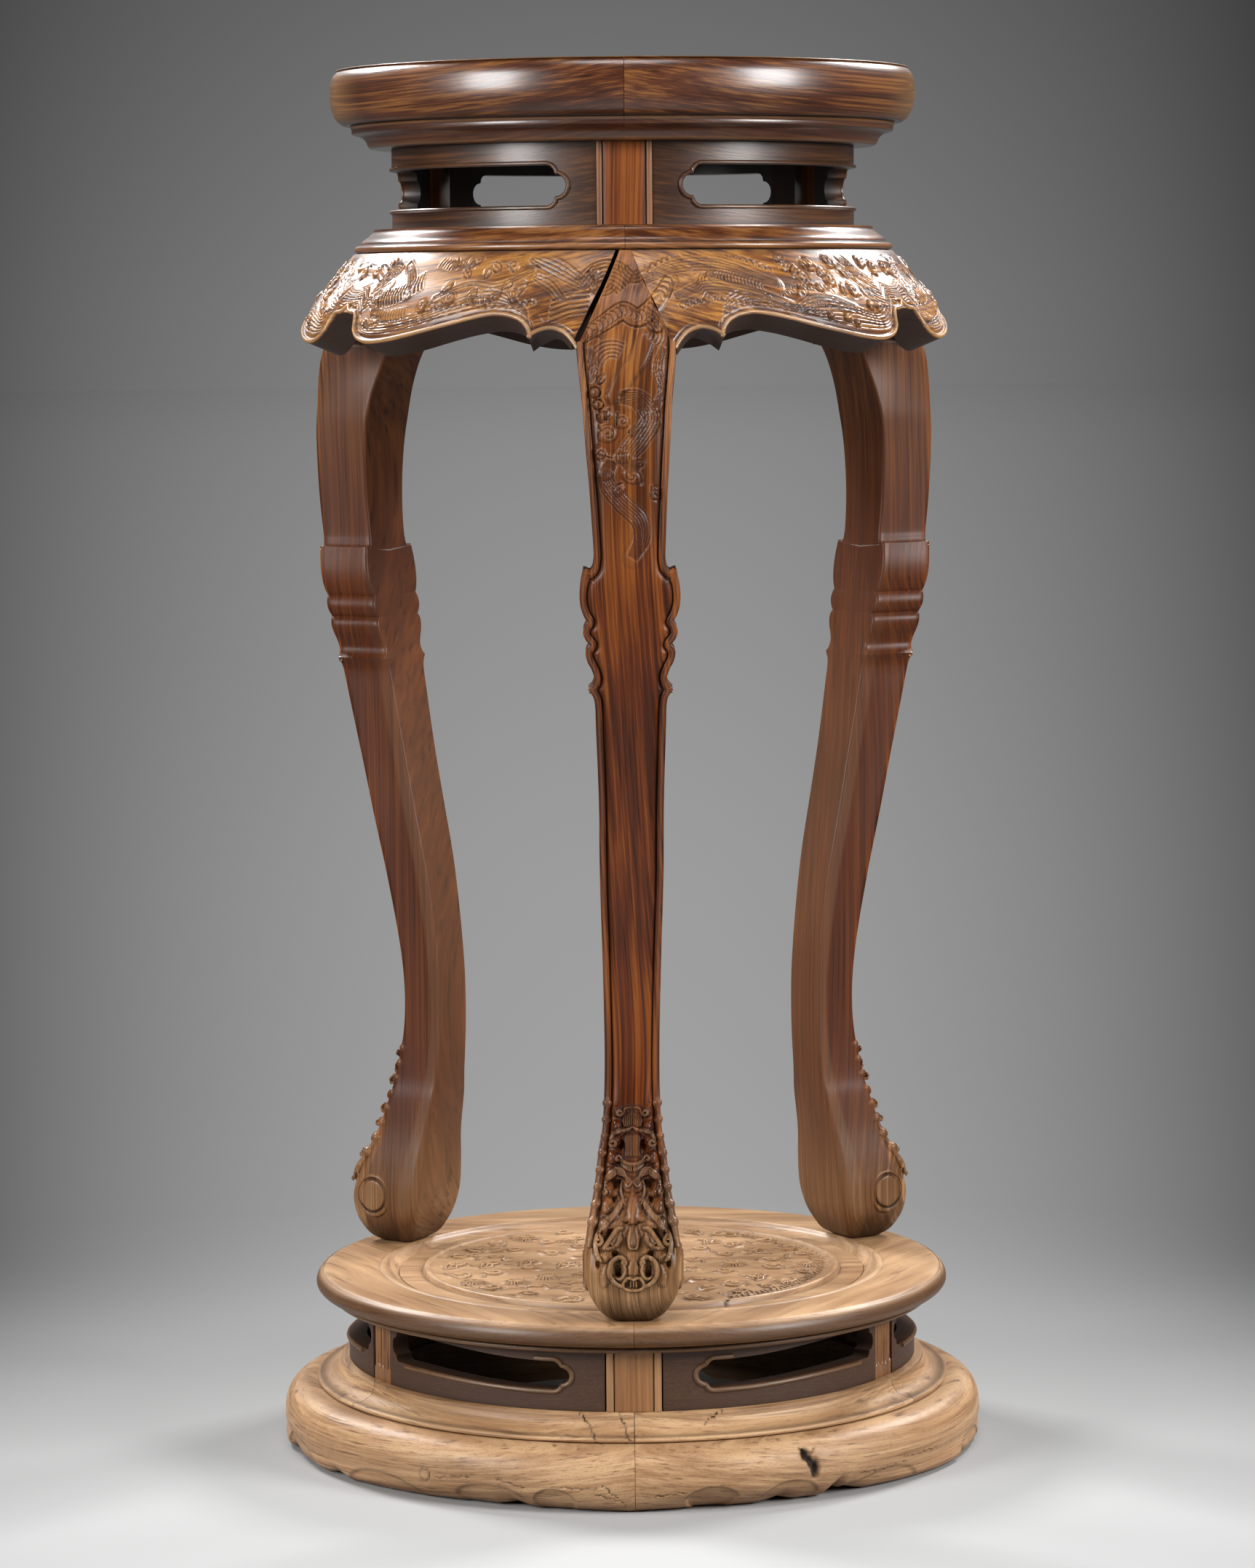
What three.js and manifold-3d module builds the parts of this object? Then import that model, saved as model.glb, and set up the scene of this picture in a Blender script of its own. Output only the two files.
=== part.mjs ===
// Round incense stand of carved hardwood: a moulded top over a slotted waist, bulging aprons, three long
// S-shaped legs with ball feet, and a round base with its own slotted waist and a heavy plinth.
// Millimetres, +Z up, the origin on the axis at the floor. The front leg stands on -Y.
import * as THREE from "three";
import { mergeVertices } from "three/addons/utils/BufferGeometryUtils.js";
import Module from "manifold-3d";

// Heights of the joints between the pieces, from the floor up
const plinthTop = 41.5;
const mouldingTop = 57.3;
const baseWaistTop = 97;
const baseTop = 117;
const apronTop = 799.4;
const collarTop = 815.5;
const waistTop = 868.2;
const standTop = 920;

// Radii of the rings
const plinthRadius = 235.8;
const baseRimRadius = 213.6;
const baseWaistRadius = 192;
const recessRadius = 166;
const baseOpeningRadius = 158;
const roundelRadius = 141;
const waistRadius = 153.5;
const collarRadius = 178.8;
const topRadius = 194;
const topOpeningRadius = 140;
const collarInnerRadius = 138;
const ringInnerRadius = 172;

// Thicknesses and small sizes
const gap = 0.3;
const boardThickness = 12;
const apronEndThickness = 12;
const apronThickness = 22;
const apronTopThickness = 16;
const tongueLength = 6.5;
const tongueThickness = 5.4;
const battenWidth = 36;
const battenDepth = 18;
const beadWidth = 4;
const beadGroove = 1.2;
const fieldCrown = 0.8;
const notchRise = 8;

// Leg posts: the exposed heads of the legs between the waist boards
const postInnerRadius = 127;
const postOuterRadius = 155;
const postHalfAngle = 6.62;
const neckRadius = 149.4;
const basePostInnerRadius = 167;
const basePostOuterRadius = 193.5;
const basePostHalfAngle = 5.5;
const strutHalfAngle = 3.5;

// The mitre between a leg and its aprons, in degrees from the leg's centre line, and where it ends
const mitreTop = 1.2;
const mitreLow = 8.3;
const mitreLowHeight = 737.5;
const shoulderHeight = 752;

// Circle division: one third of the stand lies between two legs
const third = 120;
const arcStep = 10;
const circleSides = 360 / arcStep;
const legAzimuth = { front: -90, right: 30, left: 150 };
const thirdStart = { right: -90, back: 30, left: 150 };
const sixthStart = { front_right: -90, right: -30, back_right: 30, back_left: 90, left: 150, front_left: 210 };

// Outer face of the apron and of the leg's shoulder: height and radius
const shoulderProfile = [
  [799.4, 179],
  [793.5, 184.3],
  [782, 193],
  [770.5, 203.2],
  [758.8, 210.2],
  [747, 215.5],
  [737, 219.6],
  [725, 223.3],
];

// Lower edge of one half of an apron: degrees from the leg's centre line and height
const apronEdge = [
  [8.3, 737.5],
  [9.6, 744],
  [10.6, 747.4],
  [12.7, 750],
  [14.8, 748.6],
  [16.5, 744.6],
  [16.9, 749.4],
  [18.3, 755],
  [20.6, 758.1],
  [23.6, 758.9],
  [28, 756.2],
  [33, 751.8],
  [38, 747.6],
  [44, 743.4],
  [48.2, 741.8],
  [51, 742.4],
  [53.2, 745],
  [54.7, 749.4],
  [55.8, 758.4],
  [58.4, 761],
  [60, 765],
];

// Side view of a leg: height, inner radius and outer radius
const legProfile = [
  [117.3, 170, 194],
  [121, 164, 199.5],
  [127, 160.5, 203.8],
  [137, 156.5, 207.5],
  [151, 153, 208.2],
  [170, 150.5, 203],
  [191, 148.8, 190.5],
  [212, 145.8, 182.5],
  [234, 142.5, 176.3],
  [273, 139.7, 169.4],
  [314, 140.8, 170.2],
  [374, 147.9, 180.8],
  [424, 157.4, 192.2],
  [474, 166.8, 203.2],
  [524, 175.3, 213.7],
  [560, 181.3, 220.5],
  [594, 186.8, 225.6],
  [634, 190.3, 229.4],
  [674, 189.3, 229.8],
  [702, 184.2, 227.3],
  [724, 176.5, 224],
  [737.5, 169.8, 219.5],
  [752, 159.3, 213.6],
];

// Front view of a leg: height and half width, with the cusped ornament halfway up
const legWidth = [
  [117.3, 13],
  [121, 18.5],
  [127, 23.5],
  [137, 28.5],
  [153, 31.2],
  [172, 29.2],
  [197, 24.6],
  [220, 21.8],
  [237, 19],
  [273, 17.6],
  [314, 18],
  [357, 19],
  [405, 20.3],
  [452, 20.6],
  [500, 22.3],
  [514, 22.5],
  [524.7, 26.9],
  [531.7, 22.8],
  [546, 28],
  [553, 26.2],
  [561, 29.6],
  [567.5, 26.6],
  [583, 31.3],
  [593, 28],
  [598, 29],
  [605, 23],
  [613, 22.5],
  [648, 24.3],
  [684, 26.8],
  [702, 27.9],
  [729, 30.6],
  [737.5, 31.2],
  [752, 24.2],
];

// Rounding of a leg's edges: height and size
const legRounding = [
  [117.3, 6],
  [130, 9],
  [165, 9],
  [190, 5],
  [215, 1.2],
  [752, 1.2],
];

// End of a slot: distance in from its tip and half opening, both as fractions
const slotEnd = [
  [0, 0],
  [0.12, 0.32],
  [0.4, 0.5],
  [0.62, 0.55],
  [0.8, 0.88],
  [1, 1],
];
const waistSlot = { from: 13.9, to: 106.1, low: 828, high: 854, startLength: 5, endLength: 5 };
const baseSlot = { from: 12.4, to: 54.6, low: 71, high: 87.3, startLength: 2.4, endLength: 7 };

const wasm = await Module();
wasm.setup();

const radians = THREE.MathUtils.degToRad;
const degrees = THREE.MathUtils.radToDeg;

function polar(radius, angle, z) {
  return new THREE.Vector3(radius * Math.cos(radians(angle)), radius * Math.sin(radians(angle)), z);
}

// The angle that a distance covers along an arc
function arcAngle(distance, radius) {
  return degrees(distance / radius);
}

// Straight interpolation in a table whose first column is the place; the column gives the value
function linearAt(table, place, column = 1) {
  let k = table.findIndex((row) => row[0] >= place);
  if (k < 1) {
    k = k < 0 ? table.length - 1 : 1;
  }
  const [a, b] = [table[k - 1], table[k]];
  const share = THREE.MathUtils.clamp((place - a[0]) / (b[0] - a[0]), 0, 1);
  return a[column] + (b[column] - a[column]) * share;
}

// Smooth interpolation: a cubic through the rows, its slopes taken from the neighbours
function smoothAt(table, place, column = 1) {
  const last = table.length - 1;
  const rows = table[last][0] > table[0][0] ? table : [...table].reverse();
  let k = rows.findIndex((row) => row[0] >= place);
  if (k < 1) {
    k = k < 0 ? last : 1;
  }
  const slope = (i) => {
    const [a, b] = [rows[Math.max(i - 1, 0)], rows[Math.min(i + 1, last)]];
    return (b[column] - a[column]) / (b[0] - a[0]);
  };
  const [a, b] = [rows[k - 1], rows[k]];
  const length = b[0] - a[0];
  const t = THREE.MathUtils.clamp((place - a[0]) / length, 0, 1);
  const start = (1 + 2 * t) * (1 - t) * (1 - t) * a[column] + t * (1 - t) * (1 - t) * length * slope(k - 1);
  const end = t * t * (3 - 2 * t) * b[column] + t * t * (t - 1) * length * slope(k);
  return start + end;
}

// Part of an ellipse in a profile, from one angle to another
function ellipseArc(r, z, radiusR, radiusZ, from, to, steps) {
  const points = [];
  for (let i = 0; i <= steps; i++) {
    const angle = radians(from + ((to - from) * i) / steps);
    points.push([r + radiusR * Math.cos(angle), z + radiusZ * Math.sin(angle)]);
  }
  return points;
}

// An S curve in a profile that leaves and arrives upright
function ogee(start, end, steps) {
  const points = [];
  for (let i = 0; i <= steps; i++) {
    const share = i / steps;
    const eased = (1 - Math.cos(Math.PI * share)) / 2;
    points.push([start[0] + (end[0] - start[0]) * eased, start[1] + (end[1] - start[1]) * share]);
  }
  return points;
}

// Merges equal corners, drops the triangles that lose their area by it and turns the faces outwards
function closedGeometry(source) {
  const bare = new THREE.BufferGeometry();
  bare.setAttribute("position", source.getAttribute("position"));
  bare.setIndex(source.index);
  const merged = mergeVertices(bare, 1e-4);
  const corners = merged.index.array;
  const position = merged.getAttribute("position");
  const kept = [];
  let volume = 0;
  const [a, b, c] = [new THREE.Vector3(), new THREE.Vector3(), new THREE.Vector3()];
  for (let i = 0; i < corners.length; i += 3) {
    const [ia, ib, ic] = [corners[i], corners[i + 1], corners[i + 2]];
    if (ia === ib || ib === ic || ic === ia) {
      continue;
    }
    kept.push(ia, ib, ic);
    a.fromBufferAttribute(position, ia);
    b.fromBufferAttribute(position, ib);
    c.fromBufferAttribute(position, ic);
    volume += a.dot(b.cross(c));
  }
  if (volume < 0) {
    kept.reverse();
  }
  merged.setIndex(kept);
  return merged;
}

function fromTriangles(triangles) {
  const geometry = new THREE.BufferGeometry();
  geometry.setFromPoints(triangles.flat());
  geometry.setIndex([...Array(triangles.length * 3).keys()]);
  return closedGeometry(geometry);
}

function quad(a, b, c, d) {
  return [
    [a, b, c],
    [a, c, d],
  ];
}

// Skins a row of equal outlines and closes both ends. place(point, k) puts a point of outline k in space.
function loft(outlines, place) {
  const flat = outlines.map((outline) => outline.map(([x, y]) => new THREE.Vector2(x, y)));
  if (THREE.ShapeUtils.isClockWise(flat[0])) {
    flat.forEach((outline) => outline.reverse());
  }
  const rings = flat.map((outline, k) => outline.map((point) => place(point, k)));
  const triangles = [];
  const count = rings[0].length;
  for (let k = 0; k + 1 < rings.length; k++) {
    for (let i = 0; i < count; i++) {
      const j = (i + 1) % count;
      triangles.push(...quad(rings[k][i], rings[k][j], rings[k + 1][j], rings[k + 1][i]));
    }
  }
  const last = rings.length - 1;
  for (const [i, j, l] of THREE.ShapeUtils.triangulateShape(flat[0], [])) {
    triangles.push([rings[0][i], rings[0][l], rings[0][j]]);
  }
  for (const [i, j, l] of THREE.ShapeUtils.triangulateShape(flat[last], [])) {
    triangles.push([rings[last][i], rings[last][j], rings[last][l]]);
  }
  return fromTriangles(triangles);
}

// Angles from one end of an arc to the other, the inner ones on whole steps of the circle
function arcAngles(from, to) {
  const angles = [from];
  for (let angle = Math.ceil(from / arcStep + 0.01) * arcStep; angle < to - 0.01; angle += arcStep) {
    angles.push(angle);
  }
  angles.push(to);
  return angles;
}

// A moulding that follows the circle: the same profile of radius and height at each angle
function ringPiece(profile, from, to) {
  const angles = arcAngles(from, to);
  return loft(
    angles.map(() => profile),
    (point, k) => polar(point.x, angles[k], point.y),
  );
}

// One of the equal pieces that share the circle, with half a gap left at each end
function ringShare(profile, angle) {
  const end = arcAngle(gap / 2, profile[0][0]);
  return ringPiece(profile, end, angle - end);
}

function solidOf(geometry) {
  return new wasm.Manifold(
    new wasm.Mesh({
      numProp: 3,
      vertProperties: geometry.getAttribute("position").array,
      triVerts: new Uint32Array(geometry.index.array),
    }),
  );
}

function geometryOf(solid) {
  const mesh = solid.getMesh();
  const geometry = new THREE.BufferGeometry();
  geometry.setAttribute("position", new THREE.BufferAttribute(mesh.vertProperties, 3));
  geometry.setIndex(new THREE.BufferAttribute(mesh.triVerts, 1));
  return geometry;
}

function joined(first, ...others) {
  let solid = solidOf(first);
  for (const other of others) {
    solid = solid.add(solidOf(other));
  }
  return geometryOf(solid);
}

function cut(first, ...others) {
  let solid = solidOf(first);
  for (const other of others) {
    solid = solid.subtract(solidOf(other));
  }
  return geometryOf(solid);
}

// A post: a wedge between two radial sides, its front with a bead along each edge
function postPiece(innerRadius, outerRadius, halfAngle, low, high) {
  const bead = arcAngle(beadWidth, outerRadius);
  const plan = [
    polar(innerRadius, -halfAngle, 0),
    polar(outerRadius, -halfAngle, 0),
    polar(outerRadius, bead * 0.9 - halfAngle, 0),
    polar(outerRadius - beadGroove, bead - halfAngle, 0),
    polar(outerRadius, bead * 1.1 - halfAngle, 0),
    polar(outerRadius + fieldCrown, 0, 0),
    polar(outerRadius, halfAngle - bead * 1.1, 0),
    polar(outerRadius - beadGroove, halfAngle - bead, 0),
    polar(outerRadius, halfAngle - bead * 0.9, 0),
    polar(outerRadius, halfAngle, 0),
    polar(innerRadius, halfAngle, 0),
  ];
  const shape = new THREE.Shape(plan.map((point) => new THREE.Vector2(point.x, point.y)));
  const geometry = new THREE.ExtrudeGeometry(shape, { depth: high - low, bevelEnabled: false, steps: 1 });
  geometry.translate(0, 0, low);
  return closedGeometry(geometry);
}

// A plain wedge of a ring
function wedge(innerRadius, outerRadius, from, to, low, high) {
  const profile = [
    [innerRadius, low],
    [outerRadius, low],
    [outerRadius, high],
    [innerRadius, high],
  ];
  return ringPiece(profile, from, to);
}

// A board bent round the circle with one slot, whose two ends come to a lobe between two shoulders
function slottedBoard(outerRadius, from, to, low, high, slot) {
  const innerRadius = outerRadius - boardThickness;
  const middle = (slot.low + slot.high) / 2;
  const startAngles = slotEnd.map(([share]) => slot.from + share * slot.startLength);
  const endAngles = slotEnd.map(([share]) => slot.to - share * slot.endLength).reverse();
  const plain = arcAngles(from, to).filter(
    (angle) =>
      angle < slot.from - 1 ||
      angle > slot.to + 1 ||
      (angle > slot.from + slot.startLength + 1 && angle < slot.to - slot.endLength - 1),
  );
  const angles = [...startAngles, ...endAngles, ...plain].sort((a, b) => a - b);
  const opening = (angle) => {
    if (angle <= slot.from || angle >= slot.to) {
      return 0;
    }
    const fromStart = linearAt(slotEnd, (angle - slot.from) / slot.startLength);
    const fromEnd = linearAt(slotEnd, (slot.to - angle) / slot.endLength);
    return (Math.min(fromStart, fromEnd) * (slot.high - slot.low)) / 2;
  };
  const column = (angle) => {
    const half = opening(angle);
    const heights = [low, middle - half, middle + half, high];
    return heights.map((z) => ({ out: polar(outerRadius, angle, z), in: polar(innerRadius, angle, z) }));
  };
  const triangles = [];
  for (let k = 0; k + 1 < angles.length; k++) {
    const [a, b] = [column(angles[k]), column(angles[k + 1])];
    for (const i of [0, 2]) {
      triangles.push(...quad(a[i].out, b[i].out, b[i + 1].out, a[i + 1].out));
      triangles.push(...quad(b[i].in, a[i].in, a[i + 1].in, b[i + 1].in));
    }
    triangles.push(...quad(a[0].in, b[0].in, b[0].out, a[0].out));
    triangles.push(...quad(a[3].out, b[3].out, b[3].in, a[3].in));
    if (opening(angles[k]) + opening(angles[k + 1]) > 0) {
      triangles.push(...quad(a[1].out, b[1].out, b[1].in, a[1].in));
      triangles.push(...quad(a[2].in, b[2].in, b[2].out, a[2].out));
    }
  }
  const start = column(angles[0]);
  const end = column(angles[angles.length - 1]);
  for (const i of [0, 2]) {
    triangles.push(...quad(start[i].in, start[i].out, start[i + 1].out, start[i + 1].in));
    triangles.push(...quad(end[i].out, end[i].in, end[i + 1].in, end[i + 1].out));
  }
  return fromTriangles(triangles);
}

// A round board whose edge tongue sits in the groove of the frame around it
function roundPanel(radius, low, high, tongueLow, raised) {
  const tongueRadius = radius + tongueLength;
  const profile = [
    [0, low],
    [radius, low],
    [radius, tongueLow],
    [tongueRadius, tongueLow],
    [tongueRadius, tongueLow + tongueThickness],
    [radius, tongueLow + tongueThickness],
    [radius, high],
    ...raised,
  ];
  const outline = profile.map(([r, z]) => new THREE.Vector2(r, z));
  const geometry = new THREE.LatheGeometry(outline, circleSides);
  geometry.rotateX(Math.PI / 2);
  return closedGeometry(geometry);
}

// The groove in a frame's inner edge, as points from the top down
function frameGroove(innerRadius, tongueLow) {
  const depth = innerRadius + tongueLength + gap * 2;
  return [
    [innerRadius, tongueLow + tongueThickness + gap],
    [depth, tongueLow + tongueThickness + gap],
    [depth, tongueLow - gap],
    [innerRadius, tongueLow - gap],
  ];
}

function batten(length, top) {
  const geometry = new THREE.BoxGeometry(length, battenWidth, battenDepth);
  geometry.translate(0, 0, top - battenDepth / 2);
  return closedGeometry(geometry);
}

// Top frame: a full round nose over a groove, a fillet and a hollow
const topTongueLow = 906.3;
const topPanelLow = 904;
const topPanelHigh = 918;
const topFrameLow = waistTop + gap;
const topRimProfile = [
  [topOpeningRadius, topFrameLow],
  [166, topFrameLow],
  [168.6, topFrameLow + 1.8],
  [170.3, 873.6],
  [174, 876.3],
  [178.6, 878.4],
  [180, 881.5],
  ...ellipseArc(183.5, 903, topRadius - 183.5, 19, -90, 0, 3),
  [193.2, 912],
  [191.8, 916],
  [190.2, standTop],
  [topOpeningRadius, standTop],
  ...frameGroove(topOpeningRadius, topTongueLow),
];

function topPanel() {
  return roundPanel(topOpeningRadius - gap, topPanelLow, topPanelHigh, topTongueLow, [[0, topPanelHigh]]);
}

// Collar under the waist: a lip below an S curve, notched behind for the necks of the legs
const collarProfile = [
  [collarInnerRadius, apronTop + gap],
  [collarRadius - 2, apronTop + gap],
  [collarRadius, apronTop + 2.6],
  [collarRadius - 2, apronTop + 5.3],
  ...ogee([174.3, 805.2], [166, collarTop], 5),
  [collarInnerRadius, collarTop],
];

function collarPiece() {
  const clearance = arcAngle(gap, neckRadius);
  const reach = postHalfAngle + clearance;
  const low = apronTop - 1;
  const high = collarTop + 1;
  const startNotch = wedge(postInnerRadius, neckRadius + gap, -reach, reach, low, high);
  const endNotch = wedge(postInnerRadius, neckRadius + gap, third - reach, third + reach, low, high);
  return cut(ringShare(collarProfile, third), startNotch, endNotch);
}

// Waist board between two leg posts
function waistBoard() {
  const start = postHalfAngle + arcAngle(gap, waistRadius);
  return slottedBoard(waistRadius, start, third - start, collarTop + gap, waistTop, waistSlot);
}

// Half angle of the leg's shoulder at a height, from the mitre line
function mitreAngle(z) {
  return mitreTop + ((apronTop - z) * (mitreLow - mitreTop)) / (apronTop - mitreLowHeight);
}

// Outward direction of the apron's face at a height, as its shares along the radius and upwards
function apronNormal(z) {
  const step = 1;
  const slope = (smoothAt(shoulderProfile, z + step) - smoothAt(shoulderProfile, z - step)) / (2 * step);
  const length = Math.hypot(1, slope);
  return [1 / length, -slope / length];
}

// Apron: a bulging sheet of wood between the mitres of two legs, with a cusped lower edge cut square
function apronPiece() {
  const rows = 5;
  const thinEnd = 2.2;
  const thickFrom = 6.5;
  const mirrored = apronEdge.slice(0, -1).map(([angle, z]) => [third - angle, z]);
  const edge = [...apronEdge, ...mirrored.reverse()];
  const edgeSpan = third - 2 * mitreLow;
  const columns = edge.map(([edgeAngle, edgeHeight]) => {
    const share = (edgeAngle - mitreLow) / edgeSpan;
    const topAngle = mitreTop + share * (third - 2 * mitreTop);
    const fromMitre = Math.min(edgeAngle, third - edgeAngle) - mitreLow;
    const thickening = THREE.MathUtils.smoothstep(fromMitre, thinEnd, thickFrom);
    const lowThickness = apronEndThickness + (apronThickness - apronEndThickness) * thickening;
    const column = [];
    for (let i = 0; i < rows; i++) {
      const down = i / (rows - 1);
      const z = apronTop + (edgeHeight - apronTop) * down;
      const angle = topAngle + (edgeAngle - topAngle) * down;
      const radius = smoothAt(shoulderProfile, z);
      const [alongRadius, upwards] = apronNormal(z);
      const thickness = apronTopThickness + (lowThickness - apronTopThickness) * down;
      const turn = Math.min(1, down * 2);
      const inward = thickness * (1 + (alongRadius - 1) * turn);
      const downward = thickness * upwards * turn;
      const swing = (mitreAngle(z - downward) - mitreAngle(z)) * (1 - 2 * share);
      const behind = polar(radius - inward, angle + swing, z - downward);
      column.push({ out: polar(radius, angle, z), in: behind });
    }
    return column;
  });
  const triangles = [];
  const last = rows - 1;
  for (let k = 0; k + 1 < columns.length; k++) {
    const [a, b] = [columns[k], columns[k + 1]];
    for (let i = 0; i < last; i++) {
      triangles.push(...quad(a[i].out, a[i + 1].out, b[i + 1].out, b[i].out));
      triangles.push(...quad(a[i].in, b[i].in, b[i + 1].in, a[i + 1].in));
    }
    triangles.push(...quad(a[0].out, b[0].out, b[0].in, a[0].in));
    triangles.push(...quad(a[last].out, a[last].in, b[last].in, b[last].out));
  }
  const [start, end] = [columns[0], columns[columns.length - 1]];
  for (let i = 0; i < last; i++) {
    triangles.push(...quad(start[i].out, start[i].in, start[i + 1].in, start[i + 1].out));
    triangles.push(...quad(end[i].out, end[i + 1].out, end[i + 1].in, end[i].in));
  }
  return fromTriangles(triangles);
}

// Section of a leg at a height, as points along the radius and across: beaded front, eased back
function legSection(z) {
  const inner = smoothAt(legProfile, z, 1);
  const outer = smoothAt(legProfile, z, 2);
  const half = linearAt(legWidth, z);
  const rounding = linearAt(legRounding, z);
  const extra = rounding - legRounding[legRounding.length - 1][1];
  const crest = beadWidth / 2 + extra * 0.5;
  const groove = beadWidth + extra;
  const grooveDepth = beadGroove / (1 + extra);
  const ease = 2 + extra * 0.6;
  const wedged = THREE.MathUtils.clamp((z - 690) / 32, 0, 1);
  const halfBack = half * (1 + wedged * ((inner + ease) / (outer - rounding) - 1));
  return [
    [outer - rounding, -half],
    [outer, crest - half],
    [outer - grooveDepth, groove - half],
    [outer + fieldCrown, 0],
    [outer - grooveDepth, half - groove],
    [outer, half - crest],
    [outer - rounding, half],
    [inner + ease, halfBack],
    [inner, halfBack - ease],
    [inner, ease - halfBack],
    [inner + ease, -halfBack],
  ];
}

// The long part of the leg, from the ball foot to the shoulder
function legShaft() {
  const heights = legWidth.map(([z]) => z);
  for (const [z] of legProfile) {
    if (heights.every((height) => Math.abs(height - z) > 9)) {
      heights.push(z);
    }
  }
  heights.sort((a, b) => a - b);
  return loft(heights.map(legSection), (point, k) => new THREE.Vector3(point.x, point.y, heights[k]));
}

// The front of the shoulder, which narrows upwards between the two mitres
function legShoulder() {
  const heights = [745, 758.8, 770.5, 782, 793.5, apronTop];
  const outlines = heights.map((z) => {
    const outer = smoothAt(shoulderProfile, z);
    const inner = outer - apronTopThickness - 6;
    const angle = radians(mitreAngle(z) - arcAngle(gap, outer));
    const side = Math.sin(angle);
    const depth = Math.cos(angle);
    return [
      [inner * depth, -inner * side],
      [outer * depth, -outer * side],
      [outer + fieldCrown, 0],
      [outer * depth, outer * side],
      [inner * depth, inner * side],
    ];
  });
  return loft(outlines, (point, k) => new THREE.Vector3(point.x, point.y, heights[k]));
}

// The body of the leg behind the ends of the aprons
function legBody() {
  const heights = [745, shoulderHeight, 758.8, 770.5, 782, apronTop];
  const behindApron = 20;
  const innerRadius = [
    [745, 165],
    [752, 158.5],
    [782, 135],
    [799.4, postInnerRadius],
  ];
  const side = Math.sin(radians(postHalfAngle));
  const outlines = heights.map((z) => {
    const outer = smoothAt(shoulderProfile, z) - behindApron;
    const inner = linearAt(innerRadius, z);
    return [
      [inner, -inner * side],
      [outer, -outer * side],
      [outer, outer * side],
      [inner, inner * side],
    ];
  });
  return loft(outlines, (point, k) => new THREE.Vector3(point.x, point.y, heights[k]));
}

// One leg in one piece of wood: post, neck, shoulder, shaft and ball foot with an oval boss on each side
function legPiece() {
  const post = postPiece(postInnerRadius, postOuterRadius, postHalfAngle, collarTop + gap, waistTop);
  const neckLow = apronTop - 4;
  const neckHigh = collarTop + 5;
  const neck = wedge(postInnerRadius, neckRadius, -postHalfAngle, postHalfAngle, neckLow, neckHigh);
  const bossHeight = 152;
  const bosses = [-1, 1].map((side) => {
    const boss = new THREE.SphereGeometry(1, 10, 6);
    boss.scale(13, 5, 16);
    boss.translate(181, side * (linearAt(legWidth, bossHeight) - 2), bossHeight);
    return closedGeometry(boss);
  });
  return joined(legShaft(), legBody(), legShoulder(), neck, post, ...bosses);
}

// Base frame: a round nose over a small bead, with the groove for the base panel
const baseTongueLow = 103.8;
const basePanelLow = 101;
const basePanelHigh = 113;
const baseRimLow = baseWaistTop + gap;
const baseRimProfile = [
  [baseOpeningRadius, baseRimLow],
  [200, baseRimLow],
  [203, baseRimLow + 1.8],
  [200.5, baseRimLow + 3.6],
  ...ellipseArc(202, 108.5, baseRimRadius - 202, 6.6, -90, 0, 3),
  ...ellipseArc(206, 108.5, baseRimRadius - 206, baseTop - 108.5, 0, 90, 3).slice(1),
  [recessRadius, baseTop],
  [recessRadius - 2.5, baseTop - 2.6],
  [baseOpeningRadius, basePanelHigh - 0.4],
  ...frameGroove(baseOpeningRadius, baseTongueLow),
];

function basePanel() {
  const roundelTop = basePanelHigh + 3;
  const raised = [
    [roundelRadius + 1.5, basePanelHigh],
    [roundelRadius, roundelTop],
    [0, roundelTop],
  ];
  return roundPanel(baseOpeningRadius - gap, basePanelLow, basePanelHigh, baseTongueLow, raised);
}

// Base waist: a board with one slot on each side of a plain strut
function baseBoard() {
  const start = basePostHalfAngle + arcAngle(gap, baseWaistRadius);
  const end = third / 2 - strutHalfAngle - arcAngle(gap, baseWaistRadius);
  return slottedBoard(baseWaistRadius, start, end, mouldingTop + gap, baseWaistTop, baseSlot);
}

function mirroredBaseBoard() {
  const geometry = baseBoard();
  geometry.scale(1, -1, 1);
  geometry.rotateZ(radians(third / 2));
  return closedGeometry(geometry);
}

function baseStrut() {
  const face = baseWaistRadius - 1.5;
  const low = mouldingTop + gap;
  return wedge(face - boardThickness, face, -strutHalfAngle, strutHalfAngle, low, baseWaistTop);
}

function basePost() {
  const low = mouldingTop + gap;
  return postPiece(basePostInnerRadius, basePostOuterRadius, basePostHalfAngle, low, baseWaistTop);
}

// Moulding ring on the plinth: a lip, a hollow and a fillet
const baseMouldingProfile = [
  [ringInnerRadius, plinthTop + gap],
  [212, plinthTop + gap],
  [214, plinthTop + 1.8],
  [212.5, plinthTop + 3.5],
  ...ellipseArc(211.5, 55, 13.3, 9.7, -90, -180, 3),
  [197, 55],
  [197, mouldingTop],
  [ringInnerRadius, mouldingTop],
];

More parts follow.
